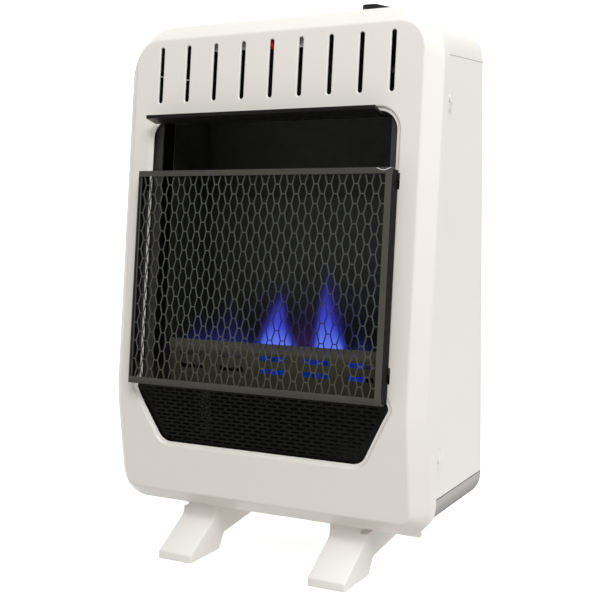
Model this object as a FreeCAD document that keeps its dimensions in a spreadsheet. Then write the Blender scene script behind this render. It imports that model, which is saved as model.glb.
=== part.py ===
import FreeCAD, Part
import math
import os
import re
import Sketcher

V = FreeCAD.Vector
Rot = FreeCAD.Rotation
doc = FreeCAD.newDocument("ventless_gas_heater")

# ---------------------------------------------------------------------------
# Driving dimensions, in millimetres.  +X right, +Y back, +Z up, floor at z=0.
# ---------------------------------------------------------------------------
sheet = doc.addObject("Spreadsheet::Sheet", "Dims")
CELLS = {}


def dims(**kw):
    for k, val in kw.items():
        row = len(CELLS) + 1
        sheet.set("A%d" % row, k)
        sheet.set("B%d" % row, str(val))
        sheet.setAlias("B%d" % row, k)
        CELLS[k] = float(val)


# front pressing
dims(kink_y=-82.5, kink_z=176.3, lean_up=0.1307, lean_low=0.0803, front_half=190, front_top=584.3, front_bot=54.3,
     front_wall=1.6, corner_top=56, corner_bot=30, bevel=15.5, kink_round=150, rear_top_y=-5.7, rear_bot_y=-47.5)
# opening in the front pressing
dims(open_half=147.6, open_top=480, open_neck=199, open_knee=186.5, open_wide=153.5, open_bot=126.5, open_bot_half=121.7, open_round=20, open_low_round=17)
# outlet slots
dims(slot_pitch=35.02, slot_wide=5.2, slot_low=498.5, slot_high=559.6)
# cabinet sheets
dims(cab_half=186.4, gauge=1.2, back_y=96.1, cap_top=581.4, cap_seam=534.5, cap_round=45, pan_bot=56.2, pan_seam=88,
     pan_round=34, trim_gap=18, seam_gap=0.4, pan_gap=0.9)
# feet
dims(foot_x=93, foot_wide=43, toe_y=-100, heel_y=100, toe_high=9.5, neck_y=-50.5, neck_z=39, arch_y=-42.5, arch_z=16.5,
     arch_top=24)
# firebox
dims(box_half=139, box_back_y=57.5, box_back_top=392.5, box_top=488, floor_z=186, flange_out=150)
# hood
dims(hood_left=143, hood_right=133, hood_front_y=-62.5, hood_high=484.6, hood_lip=3.7, hood_back_y=-8)
# guard
dims(guard_half=152.5, guard_low=14.9, guard_high=247.8, guard_front=15.2, rail_top=6, rail_bot=7, strip=7, cell_wide=14.93,
     cell_high=20.07, strand=1.05, cell_flat=4.6, lift=6)
# grille
dims(grille_row=4.2, grille_pitch=13, grille_slot=9.6, grille_gap=1.9)
# burner
dims(burner_y=-22, burner_z=212, burner_r=14, burner_half=126, shield_y=-41.5, shield_half=134, shield_top=237,
     port_pitch=52.5)
# controls
dims(knob_x=100, ctrl_y=17.5, stem_r=3, knob_r=17, knob_low=585.3, knob_high=594, piezo_x=50, piezo_y=45, piezo_r=9,
     button_r=6.3, button_high=590)
# gas train
dims(inlet_x=110, inlet_z=104, inlet_r=8.57, reg_y=46)
doc.recompute()


def v(name):
    return float(sheet.get(name))


def E(text):
    """Turns plain dimension names in an expression into cell references."""
    return re.sub(r"[A-Za-z_][A-Za-z_0-9]*", lambda m: "Dims." + m.group(0) if m.group(0) in CELLS else m.group(0), str(text))


# ---------------------------------------------------------------------------
# Small builders
# ---------------------------------------------------------------------------
def block(name, x, y, z):
    o = doc.addObject("Part::Box", name)
    for prop, (a, b) in (("Length", x), ("Width", y), ("Height", z)):
        o.setExpression(prop, E("(%s) - (%s)" % (b, a)))
    for ax, (a, b) in zip("xyz", (x, y, z)):
        o.setExpression("Placement.Base." + ax, E(a))
    return o


AXES = {"x": Rot(V(0, 1, 0), 90), "y": Rot(V(1, 0, 0), -90), "z": Rot()}


def rod(name, axis, r, x, y, z):
    """Cylinder along an axis; the coordinate along that axis is a (low, high) pair."""
    o = doc.addObject("Part::Cylinder", name)
    o.Placement = FreeCAD.Placement(V(0, 0, 0), AXES[axis])
    o.setExpression("Radius", E(r))
    for ax, c in zip("xyz", (x, y, z)):
        if ax == axis:
            o.setExpression("Height", E("(%s) - (%s)" % (c[1], c[0])))
            c = c[0]
        o.setExpression("Placement.Base." + ax, E(c))
    return o


def fuse(name, *objs):
    o = doc.addObject("Part::MultiFuse", name)
    o.Shapes = list(objs)
    return o


def cut(name, base, *tools):
    o = doc.addObject("Part::Cut", name)
    o.Base = base
    o.Tool = tools[0] if len(tools) == 1 else fuse(name + "_tools", *tools)
    return o


def plane_of(body, role):
    return [f for f in body.Origin.OriginFeatures if f.Role == role][0]


def outline(sk, pts):
    """Closed polygon, each corner tied to its two coordinates in the sheet."""
    n = len(pts)
    rough = []
    for i in range(n):
        a, b = 40 * math.cos(-2 * math.pi * i / n), 40 * math.sin(-2 * math.pi * i / n)
        rough.append(V(a, b, 0))
    for i in range(n):
        sk.addGeometry(Part.LineSegment(rough[i], rough[(i + 1) % n]), False)
    for i in range(n):
        sk.addConstraint(Sketcher.Constraint("Coincident", i, 2, (i + 1) % n, 1))
    for i, (a, b) in enumerate(pts):
        k = sk.addConstraint(Sketcher.Constraint("DistanceX", -1, 1, i, 1, rough[i].x))
        sk.setExpression("Constraints[%d]" % k, E(a))
        k = sk.addConstraint(Sketcher.Constraint("DistanceY", -1, 1, i, 1, rough[i].y))
        sk.setExpression("Constraints[%d]" % k, E(b))


def pad(name, plane, pts, low, high):
    """Body with one polygon padded from low to high along the third axis."""
    body = doc.addObject("PartDesign::Body", name)
    sk = body.newObject("Sketcher::SketchObject", name + "_sketch")
    sk.AttachmentSupport = (plane_of(body, plane + "_Plane"), [""])
    sk.MapMode = "FlatFace"
    start = "-(%s)" % high if plane == "XZ" else low
    sk.setExpression("AttachmentOffset.Base.z", E(start))
    outline(sk, pts)
    doc.recompute()
    f = body.newObject("PartDesign::Pad", name + "_pad")
    f.Profile = sk
    f.setExpression("Length", E("(%s) - (%s)" % (high, low)))
    doc.recompute()
    return body


def round_edges(body, radius, pick, tag):
    """Rounds the edges of a body that pick() chooses by their middle point and direction."""
    base = body.Tip
    names = []
    for i, e in enumerate(base.Shape.Edges):
        if len(e.Vertexes) == 2:
            a, b = e.Vertexes[0].Point, e.Vertexes[1].Point
            if pick((a + b) * 0.5, (b - a).normalize()):
                names.append("Edge%d" % (i + 1))
    f = body.newObject("PartDesign::Fillet", body.Name + "_" + tag)
    f.Base = (base, names)
    f.setExpression("Radius", E(radius))
    doc.recompute()
    return f


def solid_feature(name, shape, placement=None):
    o = doc.addObject("Part::Feature", name)
    o.Shape = shape
    if placement is not None:
        o.Placement = placement
    return o


def place(o, p):
    o.Placement = p
    return o


# frames of the two leaning halves of the front, hinged at the kink line
LEAN_UP = math.degrees(math.atan(v("lean_up")))
LEAN_LOW = math.degrees(math.atan(v("lean_low")))
UPPER = FreeCAD.Placement(V(0, v("kink_y"), v("kink_z")), Rot(V(1, 0, 0), -LEAN_UP))
LOWER = FreeCAD.Placement(V(0, v("kink_y"), v("kink_z")), Rot(V(1, 0, 0), LEAN_LOW))

nodes = {}


def node(label, o, move=None):
    if move is not None:
        o.Placement = move.multiply(o.Placement)
    nodes[label] = o
    return o


def upper_group(label, o):
    """A finished object moved as a whole into the leaning upper frame."""
    return node(label, o, UPPER)


# ---------------------------------------------------------------------------
# Front pressing
# ---------------------------------------------------------------------------
def front_form(name, grow):
    """Side profile padded across, corners rounded, kink softened and the face bevelled all round.
    grow is the expression of the inset from the outer skin."""
    top, bot = "front_top - (%s)" % grow, "front_bot + (%s)" % grow
    pts = [("kink_y + (%s) + (front_top - kink_z)*lean_up" % grow, top),
           ("kink_y + (%s)" % grow, "kink_z"),
           ("kink_y + (%s) + (kink_z - front_bot)*lean_low" % grow, bot),
           ("rear_bot_y + 20*(%s)" % grow, bot),
           ("rear_top_y + 20*(%s)" % grow, top)]
    half = "front_half - (%s)" % grow
    b = pad(name, "YZ", pts, "-(%s)" % half, half)
    h = v("front_half")
    round_edges(b, "corner_top - (%s)" % grow, lambda m, d: abs(d.y) > 0.9 and m.z > 560 and abs(m.x) > h - 5, "top")
    round_edges(b, "corner_bot - (%s)" % grow, lambda m, d: abs(d.y) > 0.9 and m.z < 70 and abs(m.x) > h - 5, "low")
    round_edges(b, "kink_round", lambda m, d: abs(d.x) > 0.9 and abs(m.z - v("kink_z")) < 1 and m.y < v("kink_y") + 4, "kink")
    base = b.Tip
    ff = [f for f in base.Shape.Faces if f.CenterOfMass.y < v("kink_y") + 40 and abs(f.normalAt(0.5, 0.5).y) > 0.9
          and f.CenterOfMass.x ** 2 < 100 and f.BoundBox.XLength > 200]
    front_codes = [e.hashCode() for f in ff for e in f.Edges]
    rim = ["Edge%d" % (i + 1) for i, e in enumerate(base.Shape.Edges) if front_codes.count(e.hashCode()) == 1]
    c = b.newObject("PartDesign::Chamfer", name + "_bevel")
    c.Base = (base, rim)
    c.setExpression("Size", E("bevel - 0.586*(%s)" % grow))
    doc.recompute()
    return b


front_outer = front_form("front_outer", "0")
front_inner = front_form("front_inner", "front_wall")
opening = pad("opening_form", "XZ", [("-open_half", "open_top"), ("open_half", "open_top"), ("open_half", "open_neck"), ("open_wide", "open_knee"),
                                     ("open_bot_half", "open_bot"), ("-open_bot_half", "open_bot"), ("-open_wide", "open_knee"), ("-open_half", "open_neck")],
              "kink_y - 30", "kink_y + 80")
round_edges(opening, "open_round", lambda m, d: abs(d.y) > 0.9 and m.z > 470, "top")
round_edges(opening, "5", lambda m, d: abs(d.y) > 0.9 and 180 < m.z < 192, "knee")
round_edges(opening, "open_low_round", lambda m, d: abs(d.y) > 0.9 and m.z < 130, "low")
slot_tools = []
for i in range(9):
    x = "%d*slot_pitch" % (i - 4)
    r = "slot_wide/2"
    slot_tools += [block("slot_%d" % i, ("%s - %s" % (x, r), "%s + %s" % (x, r)), ("kink_y", "kink_y + 90"),
                         ("slot_low + %s" % r, "slot_high - %s" % r)),
                   rod("slot_%d_a" % i, "y", r, x, ("kink_y", "kink_y + 90"), "slot_low + %s" % r),
                   rod("slot_%d_b" % i, "y", r, x, ("kink_y", "kink_y + 90"), "slot_high - %s" % r)]
# side ears with a clamping screw each, joggled in against the side sheets
EARS = [(491, -5.5), (130, -34.5)]
ears, ear_holes = [], []
for k, (z, y) in enumerate(EARS):
    for side, sx in (("l", -1), ("r", 1)):
        x = ("cab_half + 0.05", "front_half - front_wall + 0.1") if sx > 0 else ("-front_half + front_wall - 0.1", "-cab_half - 0.05")
        ears.append(block("ear_%d%s" % (k, side), x, ("%g - 16" % y, "%g + 7" % y), ("%g - 11" % z, "%g + 11" % z)))
        ear_holes.append(rod("ear_hole_%d%s" % (k, side), "x", "2", ("170*%d - 25" % sx, "170*%d + 25" % sx), "%g" % y, "%g" % z))
# hook slots for the guard, in the leaning frame
HOOKS = [228.0, 36.0]
hook_slots = []
for k, s0 in enumerate(HOOKS):
    for side, sx in (("l", -1), ("r", 1)):
        a = ("guard_half - 2", "guard_half + 1.6") if sx > 0 else ("-guard_half - 1.6", "-guard_half + 2")
        o = block("hook_slot_%d%s" % (k, side), a, ("-6", "14"), ("%g - 0.3" % s0, "%g + 9 + lift + 0.8" % s0))
        hook_slots.append((o, k, side))
hook_fuse = place(fuse("hook_slots", *[o for o, k, s in hook_slots]), UPPER)
front_shell = cut("front_shell", front_outer, front_inner)
front_eared = fuse("front_eared", front_shell, *ears)
node("front_panel", cut("front_panel_cut", front_eared, opening, *slot_tools, *ear_holes, hook_fuse))

# wedge that trims the cabinet sheets just behind the front pressing
trim = pad("front_trim", "YZ", [("-160", "-20"), ("-160", "640"), ("kink_y + trim_gap + (640 - kink_z)*lean_up", "640"),
                                ("kink_y + trim_gap", "kink_z"), ("kink_y + trim_gap + (kink_z + 20)*lean_low", "-20")], "-260", "260")

# ---------------------------------------------------------------------------
# Cabinet sheets
# ---------------------------------------------------------------------------
inner_y = "back_y - gauge"
cap = pad("cap_bend", "XZ", [("-cab_half", "cap_seam + seam_gap"), ("-cab_half", "cap_top"), ("cab_half", "cap_top"),
                             ("cab_half", "cap_seam + seam_gap"), ("cab_half - gauge", "cap_seam + seam_gap"),
                             ("cab_half - gauge", "cap_top - gauge"), ("-cab_half + gauge", "cap_top - gauge"),
                             ("-cab_half + gauge", "cap_seam + seam_gap")], "-60", inner_y)
round_edges(cap, "cap_round", lambda m, d: abs(d.y) > 0.9 and m.z > v("cap_top") - 0.5 and abs(m.x) > 180, "outside")
round_edges(cap, "cap_round - gauge", lambda m, d: abs(d.y) > 0.9 and abs(m.z - v("cap_top") + v("gauge")) < 0.5 and abs(m.x) > 180, "inside")
# the tucked-in edge is notched at both corners, where the pressing turns more slowly
slope_rear = "(rear_top_y - rear_bot_y)/(front_top - front_bot)"
CORNER = [("-70", "540"), ("-70", "600"), ("rear_bot_y + 0.3 + (600 - front_bot)*%s" % slope_rear, "600"), ("rear_bot_y + 0.3 + (540 - front_bot)*%s" % slope_rear, "540")]
cap_corners = [pad("cap_corner_l", "YZ", CORNER, "-200", "-142"), pad("cap_corner_r", "YZ", CORNER, "142", "200")]
node("top_cap", cut("top_cap_cut", cap, trim, *cap_corners, rod("cap_knob_hole", "z", "8", "knob_x", "ctrl_y", ("570", "590")),
                    rod("cap_piezo_hole", "z", "piezo_r + 0.1", "piezo_x", "piezo_y", ("570", "590"))))

BACK_SCREWS = [(sx, z) for sx in (-1, 1) for z in (125, 310, 500)]
for side, sx in (("left", -1), ("right", 1)):
    x = ("cab_half - gauge", "cab_half") if sx > 0 else ("-cab_half", "-cab_half + gauge")
    ret = ("cab_half - gauge - 13", "cab_half - gauge") if sx > 0 else ("-cab_half + gauge", "-cab_half + gauge + 13")
    sheet_form = fuse("side_form_" + side, block("side_sheet_" + side, x, ("-75", inner_y), ("pan_seam + pan_gap", "cap_seam")),
                      block("side_return_" + side, ret, ("back_y - 2*gauge", inner_y), ("pan_seam + pan_gap + 3", "cap_seam - 3")))
    holes = [rod("side_hole_%s_%d" % (side, k), "x", "2", ("170*%d - 25" % sx, "170*%d + 25" % sx), "%g" % y, "%g" % z) for k, (z, y) in enumerate(EARS)]
    holes += [rod("return_hole_%s_%d" % (side, z), "y", "1.7", "%d*(cab_half - 8)" % sx, ("80", "100"), "%d" % z) for s2, z in BACK_SCREWS if s2 == sx]
    node("side_panel_" + side, cut("side_cut_" + side, sheet_form, trim, *holes))

pan = pad("pan_bend", "XZ", [("-cab_half", "pan_seam"), ("-cab_half + gauge", "pan_seam"), ("-cab_half + gauge", "pan_bot + gauge"),
                             ("cab_half - gauge", "pan_bot + gauge"), ("cab_half - gauge", "pan_seam"), ("cab_half", "pan_seam"),
                             ("cab_half", "pan_bot"), ("-cab_half", "pan_bot")], "-80", inner_y)
pan_low = v("pan_bot")
round_edges(pan, "pan_round - 4", lambda m, d: abs(d.y) > 0.9 and m.z < pan_low + 0.5 and abs(m.x) > 180, "outside")
round_edges(pan, "pan_round - 4 - gauge", lambda m, d: abs(d.y) > 0.9 and abs(m.z - pan_low - v("gauge")) < 0.5 and abs(m.x) > 180, "inside")
FOOT_SCREWS = [(sx, y) for sx in (-1, 1) for y in (-20, 50)]
pan_holes = [rod("pan_hole_%d_%d" % (k, y), "z", "2.2", "%d*foot_x" % sx, "%d" % y, ("50", "70")) for k, (sx, y) in enumerate(FOOT_SCREWS)]
# air inlet slots in the floor of the pan
pan_vents = [block("pan_vent_%d" % i, ("%d*24 - 8" % (i - 1), "%d*24 + 8" % (i - 1)), ("-10", "40"), ("50", "70")) for i in range(3)]
# the pan's upright edges are joggled inwards and lap behind the side sheets
pan_laps = [block("pan_lap_" + side, ("cab_half - 2*gauge", "cab_half - gauge") if sx > 0 else ("-cab_half + gauge", "-cab_half + 2*gauge"),
                  ("-40", inner_y), ("pan_seam - 6", "pan_seam + 2.6")) for side, sx in (("left", -1), ("right", 1))]
node("base_pan", cut("base_pan_cut", fuse("base_pan_form", pan, *pan_laps), trim, *pan_holes, *pan_vents))

back = pad("back_sheet", "XZ", [("-cab_half", "pan_bot"), ("-cab_half", "cap_top"), ("cab_half", "cap_top"), ("cab_half", "pan_bot")],
           inner_y, "back_y")
round_edges(back, "cap_round", lambda m, d: abs(d.y) > 0.9 and m.z > 560, "top")
round_edges(back, "pan_round - 4", lambda m, d: abs(d.y) > 0.9 and m.z < 80, "low")
back_tools = [rod("back_hole_%d" % k, "y", "1.7", "%d*(cab_half - 8)" % sx, ("80", "110"), "%d" % z) for k, (sx, z) in enumerate(BACK_SCREWS)]
for sx in (-1, 1):
    back_tools += [rod("key_round_%d" % sx, "y", "5", "127*%d" % sx, ("80", "110"), "505"),
                   block("key_slot_%d" % sx, ("127*%d - 2.5" % sx, "127*%d + 2.5" % sx), ("80", "110"), ("505", "517")),
                   rod("key_end_%d" % sx, "y", "2.5", "127*%d" % sx, ("80", "110"), "517")]
back_tools.append(rod("inlet_clearance", "y", "25", "inlet_x", ("80", "110"), "inlet_z"))
for r in range(2):
    for i in range(7):
        back_tools.append(block("back_vent_%d_%d" % (r, i), ("%d*30 - 11" % (i - 3), "%d*30 + 11" % (i - 3)), ("80", "110"),
                                ("150 + %d*12" % r, "154 + %d*12" % r)))
node("back_panel", cut("back_panel_cut", back, *back_tools))
node("back_screws", fuse("back_screw_set", *[fuse("back_screw_%d" % k, rod("bs_head_%d" % k, "y", "3.4", "%d*(cab_half - 8)" % sx, ("back_y", "back_y + 1.8"), "%d" % z),
                                                  rod("bs_shank_%d" % k, "y", "1.65", "%d*(cab_half - 8)" % sx, ("back_y - 7", "back_y"), "%d" % z))
                                             for k, (sx, z) in enumerate(BACK_SCREWS)]))
side_screws = []
for k, (z, y) in enumerate(EARS):
    for side, sx in (("l", -1), ("r", 1)):
        head = ("front_half - front_wall + 0.1", "front_half") if sx > 0 else ("-front_half", "-front_half + front_wall - 0.1")
        shank = ("cab_half - 7", "front_half - front_wall + 0.1") if sx > 0 else ("-front_half + front_wall - 0.1", "-cab_half + 7")
        side_screws.append(fuse("side_screw_%d%s" % (k, side), rod("ss_head_%d%s" % (k, side), "x", "3.8", head, "%g" % y, "%g" % z),
                                rod("ss_shank_%d%s" % (k, side), "x", "1.9", shank, "%g" % y, "%g" % z)))
node("side_screws", fuse("side_screw_set", *side_screws))

# ---------------------------------------------------------------------------
# Feet
# ---------------------------------------------------------------------------
FOOT = [("toe_y", "0"), ("toe_y", "toe_high"), ("neck_y", "neck_z"), ("rear_bot_y + 0.6", "front_bot - 0.8"), ("rear_bot_y + 0.6", "pan_bot"), ("69", "pan_bot"), ("70", "neck_z - 2"),
        ("heel_y", "toe_high"), ("heel_y", "0"), ("94", "0"), ("84", "arch_z"), ("32.5", "arch_top"), ("arch_y + 10", "arch_z"), ("arch_y", "0")]
for side, sx in (("left", -1), ("right", 1)):
    f = pad("foot_form_" + side, "YZ", FOOT, "%d*foot_x - foot_wide/2" % sx, "%d*foot_x + foot_wide/2" % sx)
    round_edges(f, "9", lambda m, d: abs(d.x) > 0.9 and abs(m.z - v("neck_z")) < 0.5 and m.y < 0, "neck")
    round_edges(f, "1.5", lambda m, d: abs(d.x) > 0.9 and abs(m.z - v("toe_high")) < 0.5 and m.y < 0, "toe")
    holes = [rod("foot_hole_%s_%d" % (side, y), "z", "2", "%d*foot_x" % sx, "%d" % y, ("38", "60")) for s2, y in FOOT_SCREWS if s2 == sx]
    edge = ("foot_x + foot_wide/2 - 7", "foot_x + foot_wide/2 + 5") if sx > 0 else ("-foot_x - foot_wide/2 - 5", "-foot_x - foot_wide/2 + 7")
    holes.append(block("foot_notch_" + side, edge, ("-70", "-14"), ("46", "62")))
    node("foot_" + side, cut("foot_cut_" + side, f, *holes))
node("foot_screws", fuse("foot_screw_set", *[fuse("foot_screw_%d" % k, rod("fs_head_%d" % k, "z", "4.2", "%d*foot_x" % sx, "%d" % y, ("pan_bot + gauge", "pan_bot + gauge + 2.4")),
                                                  rod("fs_shank_%d" % k, "z", "1.95", "%d*foot_x" % sx, "%d" % y, ("40", "pan_bot + gauge")))
                                             for k, (sx, y) in enumerate(FOOT_SCREWS)]))

# ---------------------------------------------------------------------------
# Firebox
# ---------------------------------------------------------------------------
for side, sx in (("left", -1), ("right", 1)):
    x = ("box_half", "box_half + gauge") if sx > 0 else ("-box_half - gauge", "-box_half")
    xf = ("box_half", "flange_out") if sx > 0 else ("-flange_out", "-box_half")
    wall = pad("fire_wall_" + side, "YZ", [("kink_y + 9 + (floor_z + 6 - kink_z)*lean_up", "floor_z + 6"), ("kink_y + 9 + (box_top - kink_z)*lean_up", "box_top"),
                                           ("box_back_y + gauge", "box_top"), ("box_back_y + gauge", "floor_z + 6")], x[0], x[1])
    flange = place(fuse("fire_flange_" + side, *[block("fire_flange_%s_%s" % (side, part), xf, ("8.6", "9.8"), span)
                                                 for part, span in (("low", ("18", "160")), ("high", ("150", "317")))]), UPPER)
    # cooling slots between the flange and the wall
    xs = ("box_half - 4", "box_half + 4") if sx > 0 else ("-box_half - 4", "-box_half + 4")
    tools = [place(fuse("fire_slots_" + side, block("fire_slot_low_" + side, xs, ("10.4", "31"), ("34", "246.5")),
                        block("fire_slot_high_" + side, xs, ("10.4", "31"), ("251.5", "320"))), UPPER)]
    if sx > 0:
        tools.append(rod("venturi_hole", "x", "8.2", ("120", "160"), "burner_y", "burner_z"))
    fused = fuse("fire_side_" + side, wall, flange)
    node("firebox_side_" + side, cut("fire_side_cut_" + side, fused, *tools))
node("firebox_back", block("fire_back", ("-box_half + 0.2", "box_half - 0.2"), ("box_back_y", "box_back_y + gauge"), ("floor_z + gauge", "box_back_top")))
node("upper_baffle", block("baffle_sheet", ("-box_half + 0.2", "box_half - 0.2"), ("box_back_y + gauge", "box_back_y + 2*gauge"), ("box_back_top - 12", "490")))
node("firebox_floor", cut("fire_floor", block("fire_floor_sheet", ("-box_half + 0.2", "box_half - 0.2"), ("kink_y + 15", "box_back_y + gauge"), ("floor_z", "floor_z + gauge")),
                          block("pilot_pass", ("-100", "-58"), ("-3", "11"), ("180", "195"))))
# hood: visor with a hemmed front edge that rises out through the top of the opening
HOOD = [("hood_front_y", "hood_high - hood_lip"), ("hood_front_y", "hood_high"), ("kink_y + 38", "open_top - 3.2"), ("hood_back_y", "open_top - 3.2"),
        ("hood_back_y", "open_top - 4.4"), ("kink_y + 37.6", "open_top - 4.4")]
hood_notch = place(fuse("hood_notch", block("hood_notch_l", ("-hood_left - 5", "-124"), ("-0.5", "60"), ("285", "325")),
                        block("hood_notch_r", ("124", "hood_right + 5"), ("-0.5", "60"), ("285", "325"))), UPPER)
node("hood", cut("hood_cut", pad("hood_sheet", "YZ", HOOD, "-hood_left", "hood_right"), hood_notch))
shield_holes = [rod("shield_stem_hole", "z", "15", "knob_x", "ctrl_y", ("550", "575")), rod("shield_piezo_hole", "z", "11", "piezo_x", "piezo_y", ("550", "575"))]
node("top_heat_shield", cut("top_shield", fuse("top_shield_form", block("top_shield_sheet", ("-150", "150"), ("-14", inner_y), ("564", "565")),
                                               block("top_shield_return", ("-150", "150"), ("back_y - 2*gauge", inner_y), ("548", "564.5")),
                                               block("top_shield_shelf_l", ("-84", "-8"), ("-24.6", "-13"), ("564", "565")), block("top_shield_tab_l", ("-84", "-8"), ("-24.6", "-23.6"), ("552", "565")),
                                               block("top_shield_shelf_r", ("2.5", "37"), ("-24.6", "-13"), ("564", "565")), block("top_shield_tab_r", ("2.5", "37"), ("-24.6", "-23.6"), ("550", "565"))), *shield_holes))


# ---------------------------------------------------------------------------
# Perforated sheets: flat faces with all their holes, thickened in one go
# ---------------------------------------------------------------------------
def poly(points):
    return Part.makePolygon([V(*p) for p in points + points[:1]])


def perforated(outer, holes, y0, y1):
    wires = [poly([(x, y0, z) for x, z in outer])] + [poly([(x, y0, z) for x, z in h]) for h in holes]
    face = Part.makeFace(wires, "Part::FaceMakerBullseye")
    s = face.extrude(V(0, y1 - y0, 0))
    if s.Volume < 0:
        s.reverse()
    return s


def half_at(z, grow):
    """Half width of the lower opening at height z, grown sideways."""
    k = (v("open_wide") - v("open_bot_half")) / (v("open_knee") - v("open_bot"))
    return min(v("open_wide"), v("open_bot_half") + k * (z - v("open_bot"))) + grow


low_z, high_z = v("open_bot") - 4 - v("kink_z"), 14.5
grille_holes = []
rows = int((v("open_knee") + 1 - v("open_bot")) / v("grille_row"))
for r in range(rows):
    zc = v("open_bot") + 4.2 + r * v("grille_row") - v("kink_z")
    half = half_at(zc + v("kink_z"), -7.5)
    n = int(half / v("grille_pitch")) + 1
    for i in range(-n, n + 1):
        xc = (i + 0.5 * (r % 2)) * v("grille_pitch")
        a, b = max(xc - v("grille_slot") / 2, -half), min(xc + v("grille_slot") / 2, half)
        if b - a > 3:
            g = v("grille_gap") / 2
            grille_holes.append([(a, zc - g), (b, zc - g), (b, zc + g), (a, zc + g)])
zk = v("kink_z")
grille_outer = [(-half_at(low_z + zk, 5), low_z), (half_at(low_z + zk, 5), low_z), (half_at(v("open_knee"), 3), v("open_knee") - zk),
                (half_at(v("open_knee"), 3), high_z), (-half_at(v("open_knee"), 3), high_z), (-half_at(v("open_knee"), 3), v("open_knee") - zk)]
node("lower_grille", solid_feature("lower_grille_sheet", perforated(grille_outer, grille_holes, 6.0, 7.0), LOWER))

# hexagon mesh of the guard
gh, gl, gt = v("guard_half"), v("guard_low"), v("guard_high")
mx, ml, mt = gh - 1.4, gl + 1.5, gt - 1.4
wx0, wl, wt = gh - v("strip"), gl + v("rail_bot"), gt - v("rail_top")
cw, ch, st = v("cell_wide"), v("cell_high"), v("strand")
a_half, b_half = v("cell_flat") / 2, cw / 2 - v("cell_flat") / 2
slope = (b_half - a_half) / (ch / 2)
inset = st / 2 * math.sqrt(1 + slope * slope)


def clip(points, lo, hi, axis):
    """Clips a convex polygon to lo..hi on one axis."""
    for limit, sign in ((lo, 1), (hi, -1)):
        out = []
        for i in range(len(points)):
            p, q = points[i], points[(i + 1) % len(points)]
            dp, dq = sign * (p[axis] - limit), sign * (q[axis] - limit)
            if dp >= 0:
                out.append(p)
            if dp * dq < 0:
                t = dp / (dp - dq)
                out.append((p[0] + t * (q[0] - p[0]), p[1] + t * (q[1] - p[1])))
        points = out
        if len(points) < 3:
            return []
    return points


def area(points):
    return 0.5 * abs(sum(points[i][0] * points[(i + 1) % len(points)][1] - points[(i + 1) % len(points)][0] * points[i][1] for i in range(len(points))))


def tidy(points):
    out = []
    for p in points:
        if not out or math.hypot(p[0] - out[-1][0], p[1] - out[-1][1]) > 0.05:
            out.append(p)
    if len(out) > 1 and math.hypot(out[0][0] - out[-1][0], out[0][1] - out[-1][1]) <= 0.05:
        out.pop()
    return out


mesh_holes = []
for col in range(-24, 25):
    xc = 98.4 + col * cw / 2 - 6 * cw
    z_bar = 232.3 if col % 2 == 0 else 232.3 - ch / 2
    for row in range(-14, 4):
        zc = z_bar + (row + 0.5) * ch
        hh = ch / 2 - st / 2
        top = a_half + slope * (st / 2) - inset
        side = b_half - inset
        hexa = [(xc - top, zc - hh), (xc + top, zc - hh), (xc + side, zc), (xc + top, zc + hh), (xc - top, zc + hh), (xc - side, zc)]
        hexa = clip(clip(hexa, -gh + 3.4, wx0, 0), wl, wt, 1) if hexa else []
        hexa = tidy(hexa)
        if len(hexa) >= 3 and area(hexa) > 6:
            mesh_holes.append(hexa)
mesh_outer = [(-mx, ml), (mx, ml), (mx, mt), (-mx, mt)]
gf = v("guard_front")
node("guard_mesh", solid_feature("guard_mesh_sheet", perforated(mesh_outer, mesh_holes, -gf + 1.2, -gf + 2.2), UPPER))

# ---------------------------------------------------------------------------
# Guard frame, in the leaning frame: y=0 is the face of the pressing
# ---------------------------------------------------------------------------
upper_group("guard_top_rail", fuse("guard_rail_t", block("rail_t_face", ("-guard_half", "guard_half"), ("-guard_front", "-guard_front + 1.2"), ("guard_high - rail_top", "guard_high")),
                                   block("rail_t_lip", ("-guard_half", "guard_half"), ("-guard_front", "-guard_front + 8"), ("guard_high - 1.2", "guard_high"))))
upper_group("guard_bottom_rail", fuse("guard_rail_b", block("rail_b_face", ("-guard_half", "guard_half"), ("-guard_front", "-guard_front + 1.2"), ("guard_low", "guard_low + rail_bot")),
                                      block("rail_b_lip", ("-guard_half", "guard_half"), ("-guard_front", "-guard_front + 8"), ("guard_low", "guard_low + 1.2"))))
for side, sx in (("left", -1), ("right", 1)):
    strip = ("guard_half - strip", "guard_half") if sx > 0 else ("-guard_half", "-guard_half + 2")
    web = ("guard_half - 1.2", "guard_half") if sx > 0 else ("-guard_half", "-guard_half + 1.2")
    parts = [block("guard_strip_" + side, strip, ("-guard_front", "-guard_front + 1.2"), ("guard_low + rail_bot", "guard_high - rail_top")),
             block("guard_web_" + side, web, ("-guard_front", "-0.9"), ("guard_low + rail_bot", "guard_high - rail_top")),
             block("guard_web_b_" + side, web, ("-guard_front + 1.2", "-0.9"), ("guard_low + 1.4", "guard_high - 1.4"))]
    for k, s0 in enumerate(HOOKS):
        parts.append(block("guard_tab_%s_%d" % (side, k), web, ("-1", "4.6"), ("%g" % s0, "%g + 9" % s0)))
        parts.append(block("guard_hook_%s_%d" % (side, k), web, ("front_wall + 0.8", "4.6"), ("%g - 5" % s0, "%g + 9" % s0)))
    upper_group("guard_side_" + side, fuse("guard_cheek_" + side, *parts))

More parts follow.
